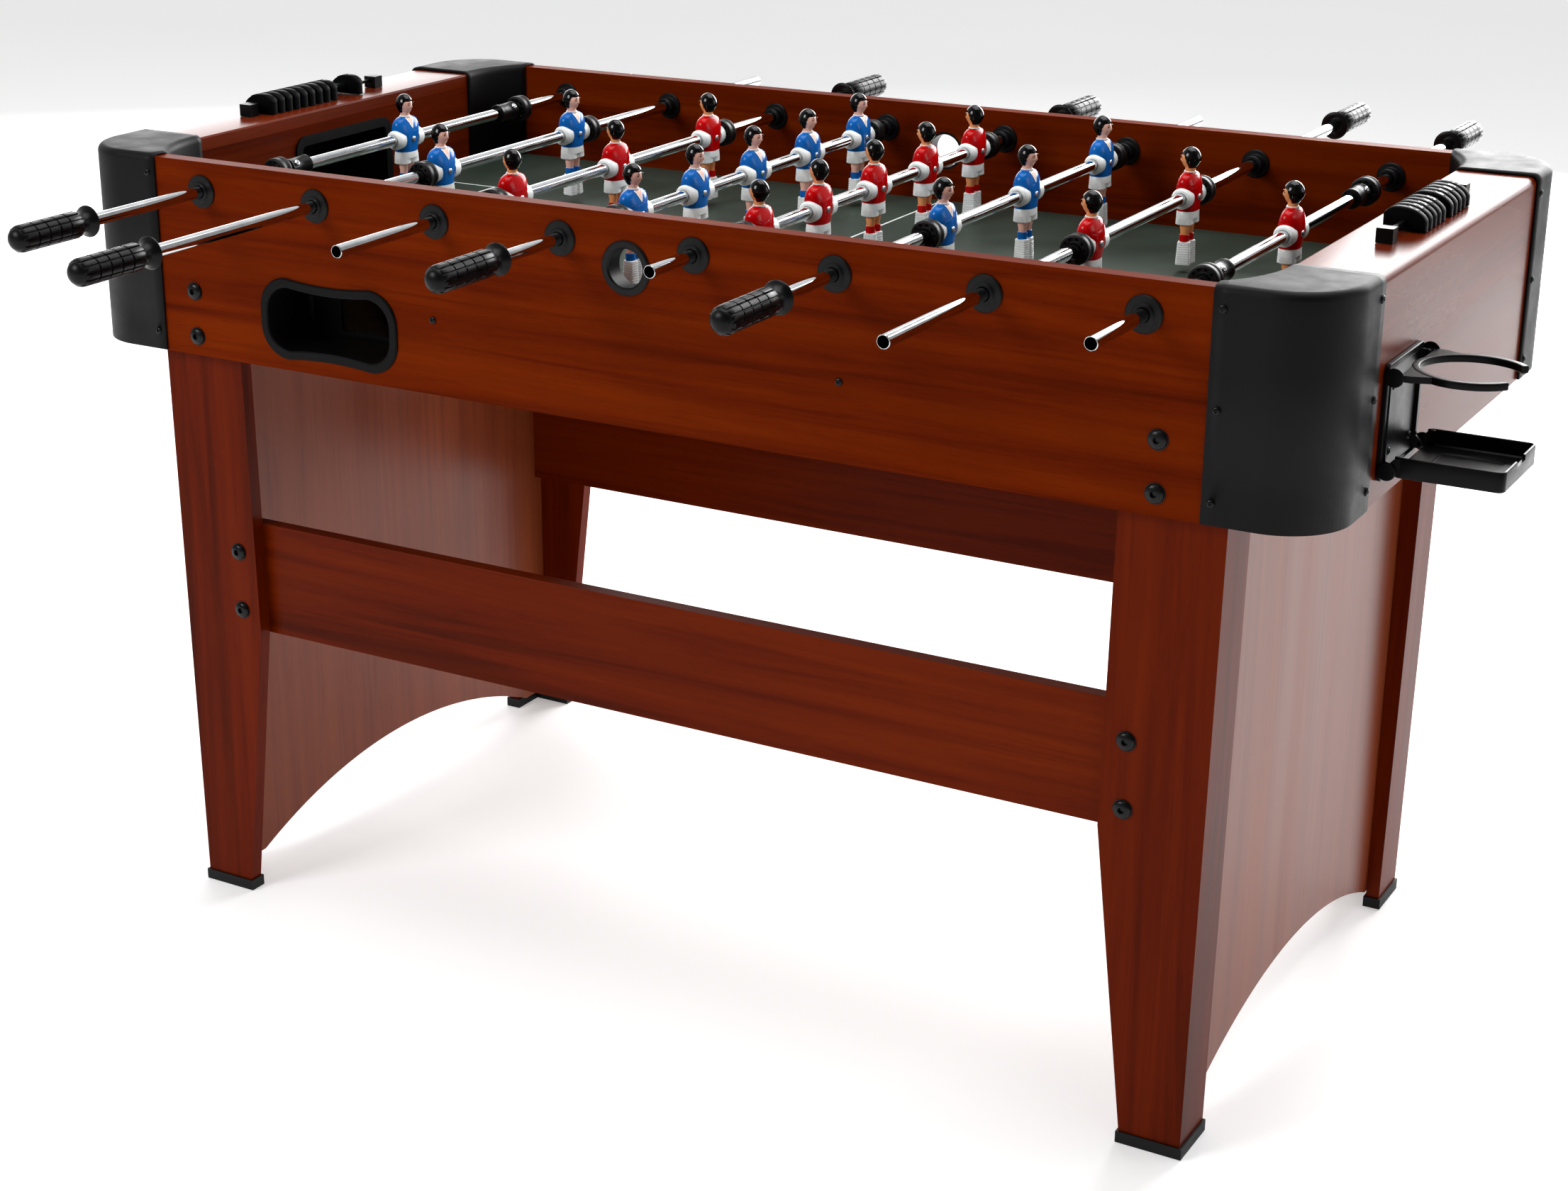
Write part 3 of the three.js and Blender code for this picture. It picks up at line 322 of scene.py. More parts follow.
def moulded(name, code, gloss, grain=0.0, pitch=900, level=0.3, metal=0):
    """Plastic or rubber with an uneven sheen and, where given, a moulded grain."""
    material, tree, shader = shader_of(name, Specular_IOR_Level=level, Metallic=metal)
    cloud = noise(tree, (35, 35, 35), 5, 0.6)
    darker, lighter = [[c * share for c in paint(code)[:3]] for share in (0.82, 1.2)]
    tint = ramp(tree, cloud, (0.3, darker), (0.7, lighter))
    tree.links.new(tint, shader.inputs["Base Color"])
    tree.links.new(spread(tree, cloud, 0.3, 0.7, gloss - 0.05, gloss + 0.07), shader.inputs["Roughness"])
    height = noise(tree, (pitch,) * 3, 2, 0.5) if grain else noise(tree, (160,) * 3, 3, 0.5)
    bump(tree, shader, height, grain or 0.02, 0.6)
    return material


def chrome(name):
    """Bright plated steel with faint lines drawn round it."""
    material, tree, shader = shader_of(name, Metallic=1)
    cloud = noise(tree, (60, 60, 60), 4)
    lines = noise(tree, (60, 900, 60), 2)
    tint = ramp(tree, cloud, (0.3, paint("bfc1c4")), (0.7, paint("d6d8da")))
    tree.links.new(tint, shader.inputs["Base Color"])
    tree.links.new(spread(tree, cloud, 0.3, 0.7, 0.03, 0.06), shader.inputs["Roughness"])
    bump(tree, shader, lines, 0.002, 0.2)
    return material


def field_print(name):
    """Dark green printed board above and plain brown board below."""
    material, tree, shader = shader_of(name, Specular_IOR_Level=0.12)
    normal = node(tree, "TexCoord").outputs["Normal"]
    up = node(tree, "SeparateXYZ", {0: normal}).outputs["Z"]
    top = node(tree, "Math", {0: up, 1: 0.9}, operation="GREATER_THAN").outputs[0]
    cloud = noise(tree, (7, 7, 7), 5, 0.6)
    fine = noise(tree, (900, 900, 900), 2)
    green = ramp(tree, cloud, (0.25, paint("2a332c")), (0.5, paint("333d35")), (0.8, paint("3a463d")))
    grain = ramp(tree, fine, (0.35, (0.75, 0.78, 0.75)), (0.6, WHITE))
    green = mix(tree, 0.25, green, grain, "MULTIPLY")
    brown = ramp(tree, cloud, (0.3, paint("6b4a30")), (0.7, paint("83603f")))
    tree.links.new(mix(tree, top, brown, green), shader.inputs["Base Color"])
    tree.links.new(spread(tree, cloud, 0.3, 0.7, 0.36, 0.5), shader.inputs["Roughness"])
    bump(tree, shader, fine, 0.03, 0.4)
    return material


WOOD_SIDE = laminate("laminate_side", "X", "3a0d00", "611b00", "792a00", 0.4, 0.015)
WOOD_LEG = laminate("laminate_leg", "Z", "380c00", "5b1700", "702200")
WOOD_BAR = laminate("laminate_bar", "X", "370c00", "5e1900", "742600")
WOOD_END = laminate("laminate_end", "Y", "360e00", "5c1b03", "70280a", 0.26, 0.08)
# The leg panels' laminate is a lighter, tanner copy of the same mahogany: painted light and sheen that the
# panels catch from the right light and the floor.
WOOD_PANEL_PAINTED_LIGHT = laminate("laminate_panel_painted_light", "Z", "642b15", "77341a", "844022", 0.34, 0.22)
FIELD_PRINT = field_print("field_print")
CAP = moulded("cap_plastic", "0b0b0c", 0.5, 0.12, 1100, level=0.12)
PLASTIC = moulded("black_plastic", "0a0a0b", 0.4, level=0.18)
TUB = moulded("cup_plastic", "060606", 0.5, level=0.1)
SMOOTH_PLASTIC = moulded("holder_plastic", "080808", 0.32, level=0.11)
COUNTER = moulded("counter_plastic", "080809", 0.42, level=0.018)
GRIP = moulded("handle_rubber", "060607", 0.3, 0.01, 700, level=0.15)
RUBBER = moulded("bumper_rubber", "0a0a0b", 0.42, 0.04, 800, level=0.18)
SHOE = moulded("foot_rubber", "0c0c0d", 0.55, 0.06, 700, level=0.2)
# Near-black and nearly unreflecting: painted shade for the inside of the hollow rod tubes.
TUBE_SHADE_BLACK = moulded("painted_shade_in_tube", "050505", 0.8, level=0.05)
CHROME = chrome("chrome")
STEEL = moulded("black_steel", "0c0c0d", 0.25, level=0.2)
SILVER = moulded("bright_steel", "b9bbbe", 0.25, metal=1)
BLUE = moulded("blue_paint", "0c66bc", 0.13, level=0.22)
RED = moulded("red_paint", "c20308", 0.13, level=0.2)
BONE = moulded("white_plastic", "f2f6f5", 0.24)
PINK = moulded("pink_skin", "fcc4b2", 0.26)
TAN = moulded("tan_skin", "f4a066", 0.26)
HAIR = moulded("hair_paint", "030303", 0.1, level=0.35)
PRINT = moulded("white_print", "e4e8e6", 0.5)


def keep(name, material, bevel=0):
    """Gives a CAD solid its material and soft edges."""
    cad = frame["nodes"][name]
    for held in cad.material_slots:
        held.material = material
    if bevel:
        soften(cad, bevel)


# ---- Camera, floor and light --------------------------------------------------------------------

camera_data = bpy.data.cameras.new("camera")
camera_data.lens = 61.31
camera_data.sensor_width = 36
camera_data.shift_x = 0.0535
camera_data.clip_end = 50
camera = bpy.data.objects.new("camera", camera_data)
bpy.context.collection.objects.link(camera)
camera.location = (1.29085, -2.45874, 1.37877)
CAMERA_TURN, CAMERA_TILT, CAMERA_ROLL = 31.0147, 20.068, -0.243
turn, tilt, roll = [Matrix.Rotation(math.radians(angle), 4, axis)
                    for angle, axis in ((CAMERA_TURN, "Z"), (90 - CAMERA_TILT, "X"), (CAMERA_ROLL, "Z"))]
camera.rotation_euler = (turn @ tilt @ roll).to_euler()
bpy.context.scene.camera = camera

floor_material, floor_tree, floor_shader = shader_of("pale_floor", Roughness=0.7, Emission_Color=(*WHITE, 1),
                                                     Emission_Strength=0.34)
floor_cloud = noise(floor_tree, (0.6, 0.6, 0.6), 3)
floor_tint = ramp(floor_tree, floor_cloud, (0.3, (0.86, 0.86, 0.86)), (0.7, (0.9, 0.9, 0.9)))
floor_tree.links.new(floor_tint, floor_shader.inputs["Base Color"])
floor_mesh = bpy.data.meshes.new("floor")
FLOOR_HALF = 30
floor_corners = [(x * FLOOR_HALF, y * FLOOR_HALF, 0) for x, y in ((-1, -1), (1, -1), (1, 1), (-1, 1))]
floor_mesh.from_pydata(floor_corners, [], [(0, 1, 2, 3)])
floor_mesh.materials.append(floor_material)
floor = bpy.data.objects.new("floor", floor_mesh)
bpy.context.collection.objects.link(floor)
floor.location.z = -0.0005

world = bpy.data.worlds.new("studio")
world.use_nodes = True
sky_tree = world.node_tree
sky_side = node(sky_tree, "SeparateXYZ", {0: node(sky_tree, "TexCoord").outputs["Generated"]})
background = sky_tree.nodes["Background"]
background.inputs["Strength"].default_value = 1
from_front = ramp(sky_tree, spread(sky_tree, sky_side.outputs["Y"], -1, 1, 0, 1),
                  (0.25, (0.2, 0.2, 0.2)), (0.75, WHITE))
to_right = ramp(sky_tree, spread(sky_tree, sky_side.outputs["X"], -1, 1, 0, 1),
                (0.48, WHITE), (0.7, (0.4, 0.4, 0.4)))
sky_tree.links.new(mix(sky_tree, 1, from_front, to_right, "MULTIPLY"), background.inputs["Color"])
bpy.context.scene.world = world
bpy.context.scene.view_settings.view_transform = "Standard"


def light(name, watts, size, where, target):
    """A square soft light, aimed at a point."""
    data = bpy.data.lights.new(name, "AREA")
    data.energy = watts
    data.size = size
    lamp = bpy.data.objects.new(name, data)
    bpy.context.collection.objects.link(lamp)
    lamp.location = where
    lamp.rotation_euler = (Vector(target) - Vector(where)).to_track_quat("-Z", "Y").to_euler()


# name, watts, size, place and aim in metres
light("key", 70, 1.4, (-1.8, -3.2, 2.6), (0, 0, 0.6))
light("top", 62, 2.4, (0.2, 0.3, 3.2), (0, 0, 0.7))
light("back", 240, 2.6, (0.4, 4.2, 1.9), (0.2, 0, 0.8))
light("back_left", 52, 2.2, (-3.7, 3.7, 1.8), (-0.6, 0, 0.85))
light("right", 18, 1.8, (3.4, 1.2, 1.5), (0.6, 0, 0.6))


# ---- Screws -------------------------------------------------------------------------------------

def screw_head(radius, height, recess, depth):
    """A button head on Z = 0, sunk wherever recess(x, y) holds."""
    rings = []
    steps = 14
    for step in range(steps + 1):
        r = radius * (1 - step / steps)
        ring = []
        for i in range(48):
            x, y = r * math.cos(TURN * i / 48), r * math.sin(TURN * i / 48)
            z = height * (0.35 + 0.65 * math.sqrt(max(0, 1 - (r / radius) ** 2)))
            ring.append((x, y, z - (depth if recess(x, y) else 0)))
        rings.append(ring)
    rim = [(x, y, 0) for x, y, _ in rings[0]]
    return loft([rim] + rings, cap=False)


def in_hex(x, y, half=2.7):
    return max(abs(math.cos(a) * x + math.sin(a) * y) for a in (0, TURN / 6, TURN / 3)) < half


def in_cross(x, y):
    return max(abs(x), abs(y)) < 2 and min(abs(x), abs(y)) < 0.5


BOLT = screw_head(9, 5, in_hex, 3)
PAN_SCREW = screw_head(3.7, 2.4, in_cross, 1)
WASHER = slab(arc(0, 0, 9.8, 0, 352.5, 47), 0, 1)


# ---- Playing box --------------------------------------------------------------------------------

def smooth_cup(grow):
    """Outline of the return cup, an oval with a slight waist, grown outwards."""
    half_width, half_height, waist = 78.5 + grow, 33.5 + grow, 3.5
    radius = half_height * 0.8
    x = half_width - radius

    def waisted(sign):
        def edge(t):
            return sign * (half_height - waist * 4 * t * (1 - t))
        along = [i / 12 for i in range(1, 12)]
        return [(-sign * x + sign * 2 * x * t, -edge(t)) for t in along]
    z = half_height - radius
    return (arc(x, -z, radius, -90, 0, 10) + arc(x, z, radius, 0, 90, 10) + waisted(-1)
            + arc(-x, z, radius, 90, 180, 10) + arc(-x, -z, radius, 180, 270, 10) + waisted(1))


SERVE_Z = RIM - 52
SERVE_RADIUS = 19
cup_low, cup_high = box_mm("return_cup_back")
CUP_X = (cup_low.x + cup_high.x) / 2 - MIDDLE.x
CUP_Z = (cup_low.z + cup_high.z) / 2
CUP_REAR = cup_low.y - MIDDLE.y
rod_boxes = [box_mm(f"bumper_ring_{index + 1}") for index in range(8)]
ROD_X = [(low.x + high.x) / 2 - MIDDLE.x for low, high in rod_boxes]
ROD_Z = (rod_boxes[0][0].z + rod_boxes[0][1].z) / 2
BOARD_END_X = END_X - CORNER_RADIUS
BOARD_END_Y = SIDE_Y - CORNER_RADIUS
BOX_BOLT_X, BOX_BOLT_Z = 544, (711, 662)
LEG_BOLT_X, LEG_BOLT_Z = 523, (416, 348)
PANEL_SCREW_X, PANEL_SCREW_Z = 231, 719


def cup_plate(grow, y):
    return [(u, y, v) for u, v in smooth_cup(grow)]


BORE = 7.1


def bearing():
    """The two flanged halves of a rod bearing through the board at +Y."""
    stub, spout = INNER_Y - BEARING_STUB, SIDE_Y + BEARING_SPOUT
    inside = [(BORE, stub), (9.4, stub), (10.2, stub + 1), (10.2, INNER_Y - 3.4), (10.8, INNER_Y - 2.8),
              (14.6, INNER_Y - 2.6), (15.5, INNER_Y - 1.6), (15.5, INNER_Y), (BORE, INNER_Y)]
    outside = [(BORE, spout), (9.6, spout), (10.2, spout - 0.6), (10.2, SIDE_Y + 3.4), (10.8, SIDE_Y + 2.9),
               (16.2, SIDE_Y + 2.8), (17.4, SIDE_Y + 1.6), (17.4, SIDE_Y), (BORE, SIDE_Y)]
    return join(lathe(inside), lathe(outside))


for side, sy in SIDES.items():
    cup_x = sy * CUP_X
    board = build(f"side_board_{side}", block((-BOARD_END_X, BOARD_END_X), (sy * INNER_Y, sy * SIDE_Y),
                                              (BOX_BOTTOM, RIM)), WOOD_SIDE, "table")
    serve_cut = move(lathe([(0, 0), (21.8, 0), (21.8, 600 * sy), (0, 600 * sy)], loop=False), z=SERVE_Z)
    cup_cut = loft([[(u + cup_x, y * sy, v + CUP_Z) for u, v in smooth_cup(2.8)] for y in (200, 500)])
    bore = lathe([(0, 0), (BORE, 0), (BORE, 600 * sy), (0, 600 * sy)], loop=False)
    carve(board, serve_cut, cup_cut, join(*[move(bore, x=x, z=ROD_Z) for x in ROD_X]))
    soften(board, 2.2)
    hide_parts(f"side_panel_{side}")
    bearings = join(*[move(flip(bearing(), y=sy), x=x, z=ROD_Z) for x in ROD_X])
    build(f"bearings_{side}", bearings, PLASTIC, "table")

    front = SIDE_Y * sy
    ring = lathe([(SERVE_RADIUS, INNER_Y), (SERVE_RADIUS, SIDE_Y + 1), (SERVE_RADIUS + 1.6, SIDE_Y + 2.8),
                  (SERVE_RADIUS + 6.4, SIDE_Y + 2.8), (SERVE_RADIUS + 8, SIDE_Y + 1.2),
                  (SERVE_RADIUS + 8, SIDE_Y + GAP), (21.5, SIDE_Y + GAP), (21.5, INNER_Y)], 64)
    ring = move(flip(ring, y=sy), z=SERVE_Z)
    serving = build(f"serving_hole_{side}", ring, PLASTIC, "table")
    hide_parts(f"serving_ring_{side}")

    door = [(max(-37, min(37, u * 0.6)), v * 0.78) for u, v in smooth_cup(0)]
    skins = [cup_plate(10, SIDE_Y + GAP), cup_plate(10, SIDE_Y + 1.4), cup_plate(8.6, SIDE_Y + 2.9),
             cup_plate(1.8, SIDE_Y + 2.9), cup_plate(0.4, SIDE_Y + 1.8), cup_plate(0, SIDE_Y),
             cup_plate(0, CUP_REAR + 9), cup_plate(-1.2, CUP_REAR + 5), cup_plate(-4, CUP_REAR + 2.6),
             [(u, CUP_REAR + 2.6, v) for u, v in door], [(u, CUP_REAR, v) for u, v in door],
             cup_plate(0, CUP_REAR), cup_plate(2.4, CUP_REAR + 2.4), cup_plate(2.4, SIDE_Y + GAP)]
    cup = build(f"return_cup_body_{side}", move(flip(loft(skins, loop=True), x=sy, y=sy), cup_x, 0, CUP_Z),
                TUB, "table")
    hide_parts(f"return_cup_{side}")

    bolts = []
    leg_front = (INNER_Y - GAP) * sy
    for bolt_x, heights, face_y in ((BOX_BOLT_X, BOX_BOLT_Z, front), (LEG_BOLT_X, LEG_BOLT_Z, leg_front)):
        for x in (-bolt_x, bolt_x):
            for z in heights:
                spot = facing((0, sy, 0), x, face_y, z)
                bolts += [place(BOLT, spot), place(WASHER, spot)]
    for x in (-PANEL_SCREW_X, PANEL_SCREW_X):
        bolts.append(place(PAN_SCREW, facing((0, sy, 0), x, front, PANEL_SCREW_Z)))
    build(f"bolts_{side}", join(*bolts), STEEL, "table", crease=50)
    keep(f"stretcher_{side}", WOOD_BAR, 1)


GOAL_HALF = 78
SILL_REACH = 16.5
SILL_TOP, SILL_THICK = FIELD - 1, 3

for end, sx in ENDS.items():
    fold = ([(END_X - END_BOARD, BOX_BOTTOM), (END_X, BOX_BOTTOM)] + arc(END_X - 8, RIM - 8, 8, 0, 90, 10)
            + arc(GOAL_X + 2.5, RIM - 2.5, 2.5, 90, 180, 5) + [(GOAL_X, RIM - END_BOARD)]
            + [(END_X - END_BOARD, RIM - END_BOARD)])
    folded = build(f"end_fold_{end}", flip(slab(fold, -BOARD_END_Y, BOARD_END_Y, "Y"), x=sx), WOOD_END,
                   "table", crease=50)
    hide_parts(f"end_box_{end}")
    keep(f"goal_wall_{end}", WOOD_END)
    keep(f"goal_liner_{end}", TUB, 0.8)
    sill = block((GOAL_X, GOAL_X + SILL_REACH), (-GOAL_HALF, GOAL_HALF), (SILL_TOP - SILL_THICK, SILL_TOP))
    build(f"goal_sill_{end}", flip(sill, x=sx), TUB, "table", bevel=0.5)
    keep(f"score_rail_{end}", SMOOTH_PLASTIC, 0.8)

keep("playfield", FIELD_PRINT)


# ---- Corner caps --------------------------------------------------------------------------------

def between(a, b, share):
    return a[0] + (b[0] - a[0]) * share, a[1] + (b[1] - a[1]) * share


def cap_section(outer, inner, floor_z):
    """Up the outer wall, over the top and down the inner skirt."""
    span = math.dist(outer, inner)
    radius = min(8, span * 0.42)
    top = RIM + CAP_WALL
    points = [(*outer, BOX_BOTTOM + CAP_ABOVE), (*outer, RIM - 70), (*outer, RIM - 20)]
    bend = [TURN / 4 * step / 6 for step in range(7)]
    for a in bend:
        share = radius * (1 - math.cos(a)) / span
        points.append((*between(outer, inner, share), top - radius * (1 - math.sin(a))))
    points.append((*between(outer, inner, 0.5), top))
    for a in reversed(bend):
        share = radius * (1 - math.cos(a)) / span
        points.append((*between(inner, outer, share), top - radius * (1 - math.sin(a))))
    points += [(*inner, RIM - 30), (*inner, floor_z)]
    return points


def corner_cap():
    """Moulded cap over the corner at +X +Y, as an open skin."""
    from_x, from_y = END_X - CAP_ALONG, SIDE_Y - CAP_ACROSS
    wall = CAP_WALL
    outer = [(from_x + (BOARD_END_X - from_x) * i / 4, SIDE_Y + wall) for i in range(4)]
    outer += arc(BOARD_END_X, BOARD_END_Y, CORNER_RADIUS + wall, 90, 0, 20)
    outer += [(END_X + wall, BOARD_END_Y + (from_y - BOARD_END_Y) * i / 4) for i in range(1, 5)]
    start, end = Vector((from_x, INNER_Y - wall)), Vector((GOAL_X - 2.5, from_y))
    lean = Vector((start.y - end.y, end.x - start.x)).normalized()
    lengths = [0]
    for a, b in zip(outer, outer[1:]):
        lengths.append(lengths[-1] + math.dist(a, b))
    rings = []
    for point, length in zip(outer, lengths):
        share = length / lengths[-1]
        inner = start.lerp(end, share) + lean * (8 * 4 * share * (1 - share))
        rings.append(cap_section(point, tuple(inner), FIELD + GAP))
    return loft(rings, cap=False, wrap=False)


for side, sy in SIDES.items():
    for end, sx in ENDS.items():
        cap = build(f"cap_{side}_{end}", flip(corner_cap(), sx, sy), CAP, "table", crease=60)
        wall = cap.modifiers.new("wall", "SOLIDIFY")
        wall.thickness = 2.6 * MM
        wall.offset = -1
        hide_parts(f"corner_cap_{side}_{end}")
        heads = []
        for z in (RIM - 17, RIM - 106, RIM - 189):
            along_x, along_y = sx * (END_X - CAP_ALONG + 9), sy * (SIDE_Y - CAP_ACROSS + 9)
            heads.append(place(PAN_SCREW, facing((0, sy, 0), along_x, sy * (SIDE_Y + CAP_WALL), z)))
            heads.append(place(PAN_SCREW, facing((sx, 0, 0), sx * (END_X + CAP_WALL), along_y, z)))
        build(f"cap_screws_{side}_{end}", join(*heads), STEEL, "table", crease=50)
        keep(f"leg_{side}_{end}", WOOD_LEG, 1.2)
        keep(f"foot_{side}_{end}", SHOE, 0.6)


# ---- Leg panels ---------------------------------------------------------------------------------

for end, sx in ENDS.items():
    low, high = box_mm(f"leg_panel_{end}")
    half_width = (high.y - low.y) / 2
    half_arch = INNER_Y - GAP - 60 - 4
    rise = 58
    radius = (half_arch ** 2 + rise ** 2) / (2 * rise)
    sweep = math.degrees(math.asin(half_arch / radius))
    outline = [(half_width, low.z), (half_width, high.z), (-half_width, high.z), (-half_width, low.z)]
    outline += arc(0, low.z + rise - radius, radius, 90 + sweep, 90 - sweep, 64)
    # The leg board takes the lighter laminate copy, whose extra lightness is painted light.
    panel = build(f"leg_board_{end}", slab(outline, low.x - MIDDLE.x, high.x - MIDDLE.x, "X"),
                  WOOD_PANEL_PAINTED_LIGHT, "table", bevel=1)
    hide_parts(f"leg_panel_{end}")


# ---- Printed lines ------------------------------------------------------------------------------

def stripe(x, y):
    return block(x, y, (FIELD + 0.05, FIELD + 0.2))


LINE = 2.5
ring_line = [[(r * math.cos(TURN * i / 96), r * math.sin(TURN * i / 96), z) for i in range(96)]
             for r, z in ((100, FIELD + 0.05), (100, FIELD + 0.2), (103, FIELD + 0.2), (103, FIELD + 0.05))]
marks = [stripe((-LINE / 2, LINE / 2), (4 - INNER_Y, INNER_Y - 4)), loft(ring_line, loop=True),
         slab(arc(0, 0, 6, 0, 350, 35), FIELD + 0.05, FIELD + 0.25)]
for sx in (-1, 1):
    for half, reach in ((137, 117), (98, 62)):
        front_x = GOAL_X - reach
        marks.append(stripe((sx * front_x, sx * (front_x + LINE)), (-half, half)))
        for sy in (-1, 1):
            marks.append(stripe((sx * front_x, sx * (GOAL_X - 4)), (sy * half, sy * (half + LINE))))
build("field_lines", join(*marks), PRINT, "table")


# ---- Men ----------------------------------------------------------------------------------------

def oval(z, depth, width, x=0, y=0, power=2.5, count=28):
    """A level ring, somewhere between an ellipse and a rectangle."""
    points = []
    for i in range(count):
        c, s = math.cos(TURN * i / count), math.sin(TURN * i / count)
        points.append((x + depth * math.copysign(abs(c) ** (2 / power), c),
                       y + width * math.copysign(abs(s) ** (2 / power), s), z))
    return points


def swell(value, middle, spread_by):
    return math.exp(-((value - middle) / spread_by) ** 2)


HEAD_Z = 38


def head(hairy=False):
    """A plain head looking along +X; hairy keeps only the cap of hair proud of it."""
    rings = []
    rows, columns = 26, 40
    for row in range(rows + 1):
        rise = math.sin(TURN / 4 * (2 * row / rows - 1))
        level = math.sqrt(max(0, 1 - rise * rise))
        ring = []
        for column in range(columns):
            a = TURN * column / columns
            x, y, z = 9.4 * level * math.cos(a), 7.9 * level * math.sin(a), 11 * rise
            lower = max(0, -rise)
            y *= 1 - 0.26 * lower
            x *= 1 - (0.42 * lower if x < 0 else 0.02 * lower)
            if x > 0:
                front = x / 9.4
                x += front * (2.1 * swell(y, 0, 1.5) * swell(z, -1.6, 2.3) + 0.5 * swell(z, 2.6, 1.2)
                              - 0.9 * swell(abs(y), 3, 1.4) * swell(z, 0.7, 1.2)
                              + 0.7 * swell(y, 0, 2.6) * swell(z, -5.2, 0.9)
                              - 0.5 * swell(y, 0, 2.4) * swell(z, -5.2, 0.3)
                              + 0.9 * swell(y, 0, 2.6) * swell(z, -9, 1.6))
            if hairy:
                line = 4.8 if x > 4.6 else 4.8 + (x - 4.6) * 2.7
                shown = max(0, min(1, (z - max(line, -8.6)) / 0.9 + 0.5))
                factor = 1 + (1.5 * shown - 0.9 * (1 - shown)) / 10
                x, y, z = x * factor, y * factor, z * factor
            ring.append((x, y, z + HEAD_Z))
        rings.append(ring)
    return loft(rings, cap=False)


def ball(x, y, z, depth, width, height):
    rings = []
    for row in range(9):
        rise = math.sin(TURN / 4 * (row / 4 - 1))
        level = math.sqrt(max(0, 1 - rise * rise))
        rings.append(oval(z + height * rise, depth * level, width * level, x, y, 2, 16))
    return loft(rings, cap=False)


def tapered(y, levels, power=2.2):
    """A limb: rings of (z, depth, width)."""
    return loft([oval(z, depth, width, 0, y, power, 20) for z, depth, width in levels])


def foot_block(sign):
    """A ridged boot, turned slightly outwards."""
    rings = [oval(-46.6, 5.6, 4.2, 0, 0, 6, 24), oval(-47.2, 6.4, 4.9, 0, 0, 7, 24)]
    for ridge in range(9):
        z = -48.6 - 2.45 * ridge
        share = ridge / 8
        for drop, inset in ((0, 0), (1.5, 0), (1.75, 0.45), (2.2, 0.45)):
            depth, width = 6.5 + 0.9 * share - inset, 5 + 0.4 * share - inset
            rings.append(oval(z - drop, depth, width, 0.2 * share, 0, 7, 24))
    rings += [oval(-70.6, 7.3, 5.3, 0.2, 0, 7, 24), oval(-71, 6.8, 4.9, 0.2, 0, 6, 24)]
    turned = place(loft(rings), Matrix.Rotation(math.radians(12 * sign), 4, "Z"))
    return move(turned, y=5.9 * sign)


SHIRT_LEVELS = [(-15, 9.2, 13.6), (-14.4, 10, 14.4), (-8, 10.6, 15.2), (0, 11.3, 17), (7, 11.3, 18.8),
                (13, 10.3, 19.8), (18, 8.7, 19.4), (21.5, 7.2, 17), (23.6, 6, 13), (25, 5, 8.4),
                (25.4, 4.4, 5)]
SHIRT_POWER = 2.7


def shirt_front(y, z):
    """How far the shirt stands in front of a point of the man's middle plane."""
    for (z0, depth0, width0), (z1, depth1, width1) in zip(SHIRT_LEVELS, SHIRT_LEVELS[1:]):
        if z <= z1:
            share = (z - z0) / (z1 - z0)
            depth, width = depth0 + (depth1 - depth0) * share, width0 + (width1 - width0) * share
            return depth * (1 - min(1, abs(y) / width) ** SHIRT_POWER) ** (1 / SHIRT_POWER)
    return SHIRT_LEVELS[-1][1]


def neckline(sign):
    """White edging of one side of the V neck, laid on the shirt."""
    rings = []
    for step in range(13):
        t = step / 12
        y, z = sign * 6.2 * (1 - t), 24.6 - 11.6 * t
        edges = [(y + sign * 1.2 * u, z + 0.6 * u) for u in (-1, -1, 1, 1)]
        lifts = (-0.5, 0.4, 0.4, -0.5)
        rings.append([(shirt_front(a, b) + lift, a, b) for (a, b), lift in zip(edges, lifts)])
    return loft(rings)


def bare_chest():
    """Skin in the opening of the V neck."""
    rings = []
    for step in range(11):
        half, z = 5.8 * (1 - step / 10) + 0.1, 24.6 - 11 * step / 10
        rings.append([(shirt_front(y, z) + lift, y, z)
                      for y, lift in ((-half, -0.5), (-half, 0.15), (0, 0.2), (half, 0.15), (half, -0.5))])
    return loft(rings)


shirt = loft([oval(z, depth, width, 0, 0, SHIRT_POWER, 36) for z, depth, width in SHIRT_LEVELS])
SOCK = [(-39.2, 4.6, 4.2), (-39.7, 5.3, 4.9), (-45, 5.1, 4.7), (-47.6, 4.9, 4.4)]
SLEEVE = [(0, 12), (10.9, 12), (10.9, 20.8), (10.6, 22), (9.5, 23.5), (8.7, 24), (6.7, 24), (6.7, 20),
          (0, 20)]
socks = [tapered(6 * s, SOCK) for s in (-1, 1)]
sleeves = [lathe([(r, s * y) for r, y in SLEEVE], loop=False) for s in (-1, 1)]
shorts = [loft([oval(z, depth, width, 0, 0, 3, 32)
                for z, depth, width in ((-13.6, 9.4, 13.8), (-15, 9.8, 14.6), (-22, 9.6, 15.4), (-23, 8, 13))])]
shorts += [tapered(7.6 * s, [(-18, 8.6, 7.2), (-27.6, 8.9, 8), (-28.2, 8.3, 7.5)], 3) for s in (-1, 1)]
nape = lathe([(4.8, 24.2), (6.4, 24.2), (6.6, 25.2), (6, 26.2), (4.8, 26.2)], 32)
collar = [neckline(-1), neckline(1), ([(x, z, y) for x, y, z in nape[0]], nape[1])]
legs = [tapered(6.2 * s, [(-27, 5, 4.8), (-32, 5, 4.8), (-36, 4.3, 4.1), (-40, 4.2, 4)]) for s in (-1, 1)]
neck = tapered(0, [(22, 5.4, 5.6), (26, 5, 5.2), (32, 5, 5)])
eyes = [ball(8.6, 3 * s, 0.6 + HEAD_Z, 0.55, 1, 0.6) for s in (-1, 1)]
brows = [ball(9.35, 3.1 * s, 3.1 + HEAD_Z, 0.5, 1.9, 0.45) for s in (-1, 1)]
boots = [foot_block(s) for s in (-1, 1)]
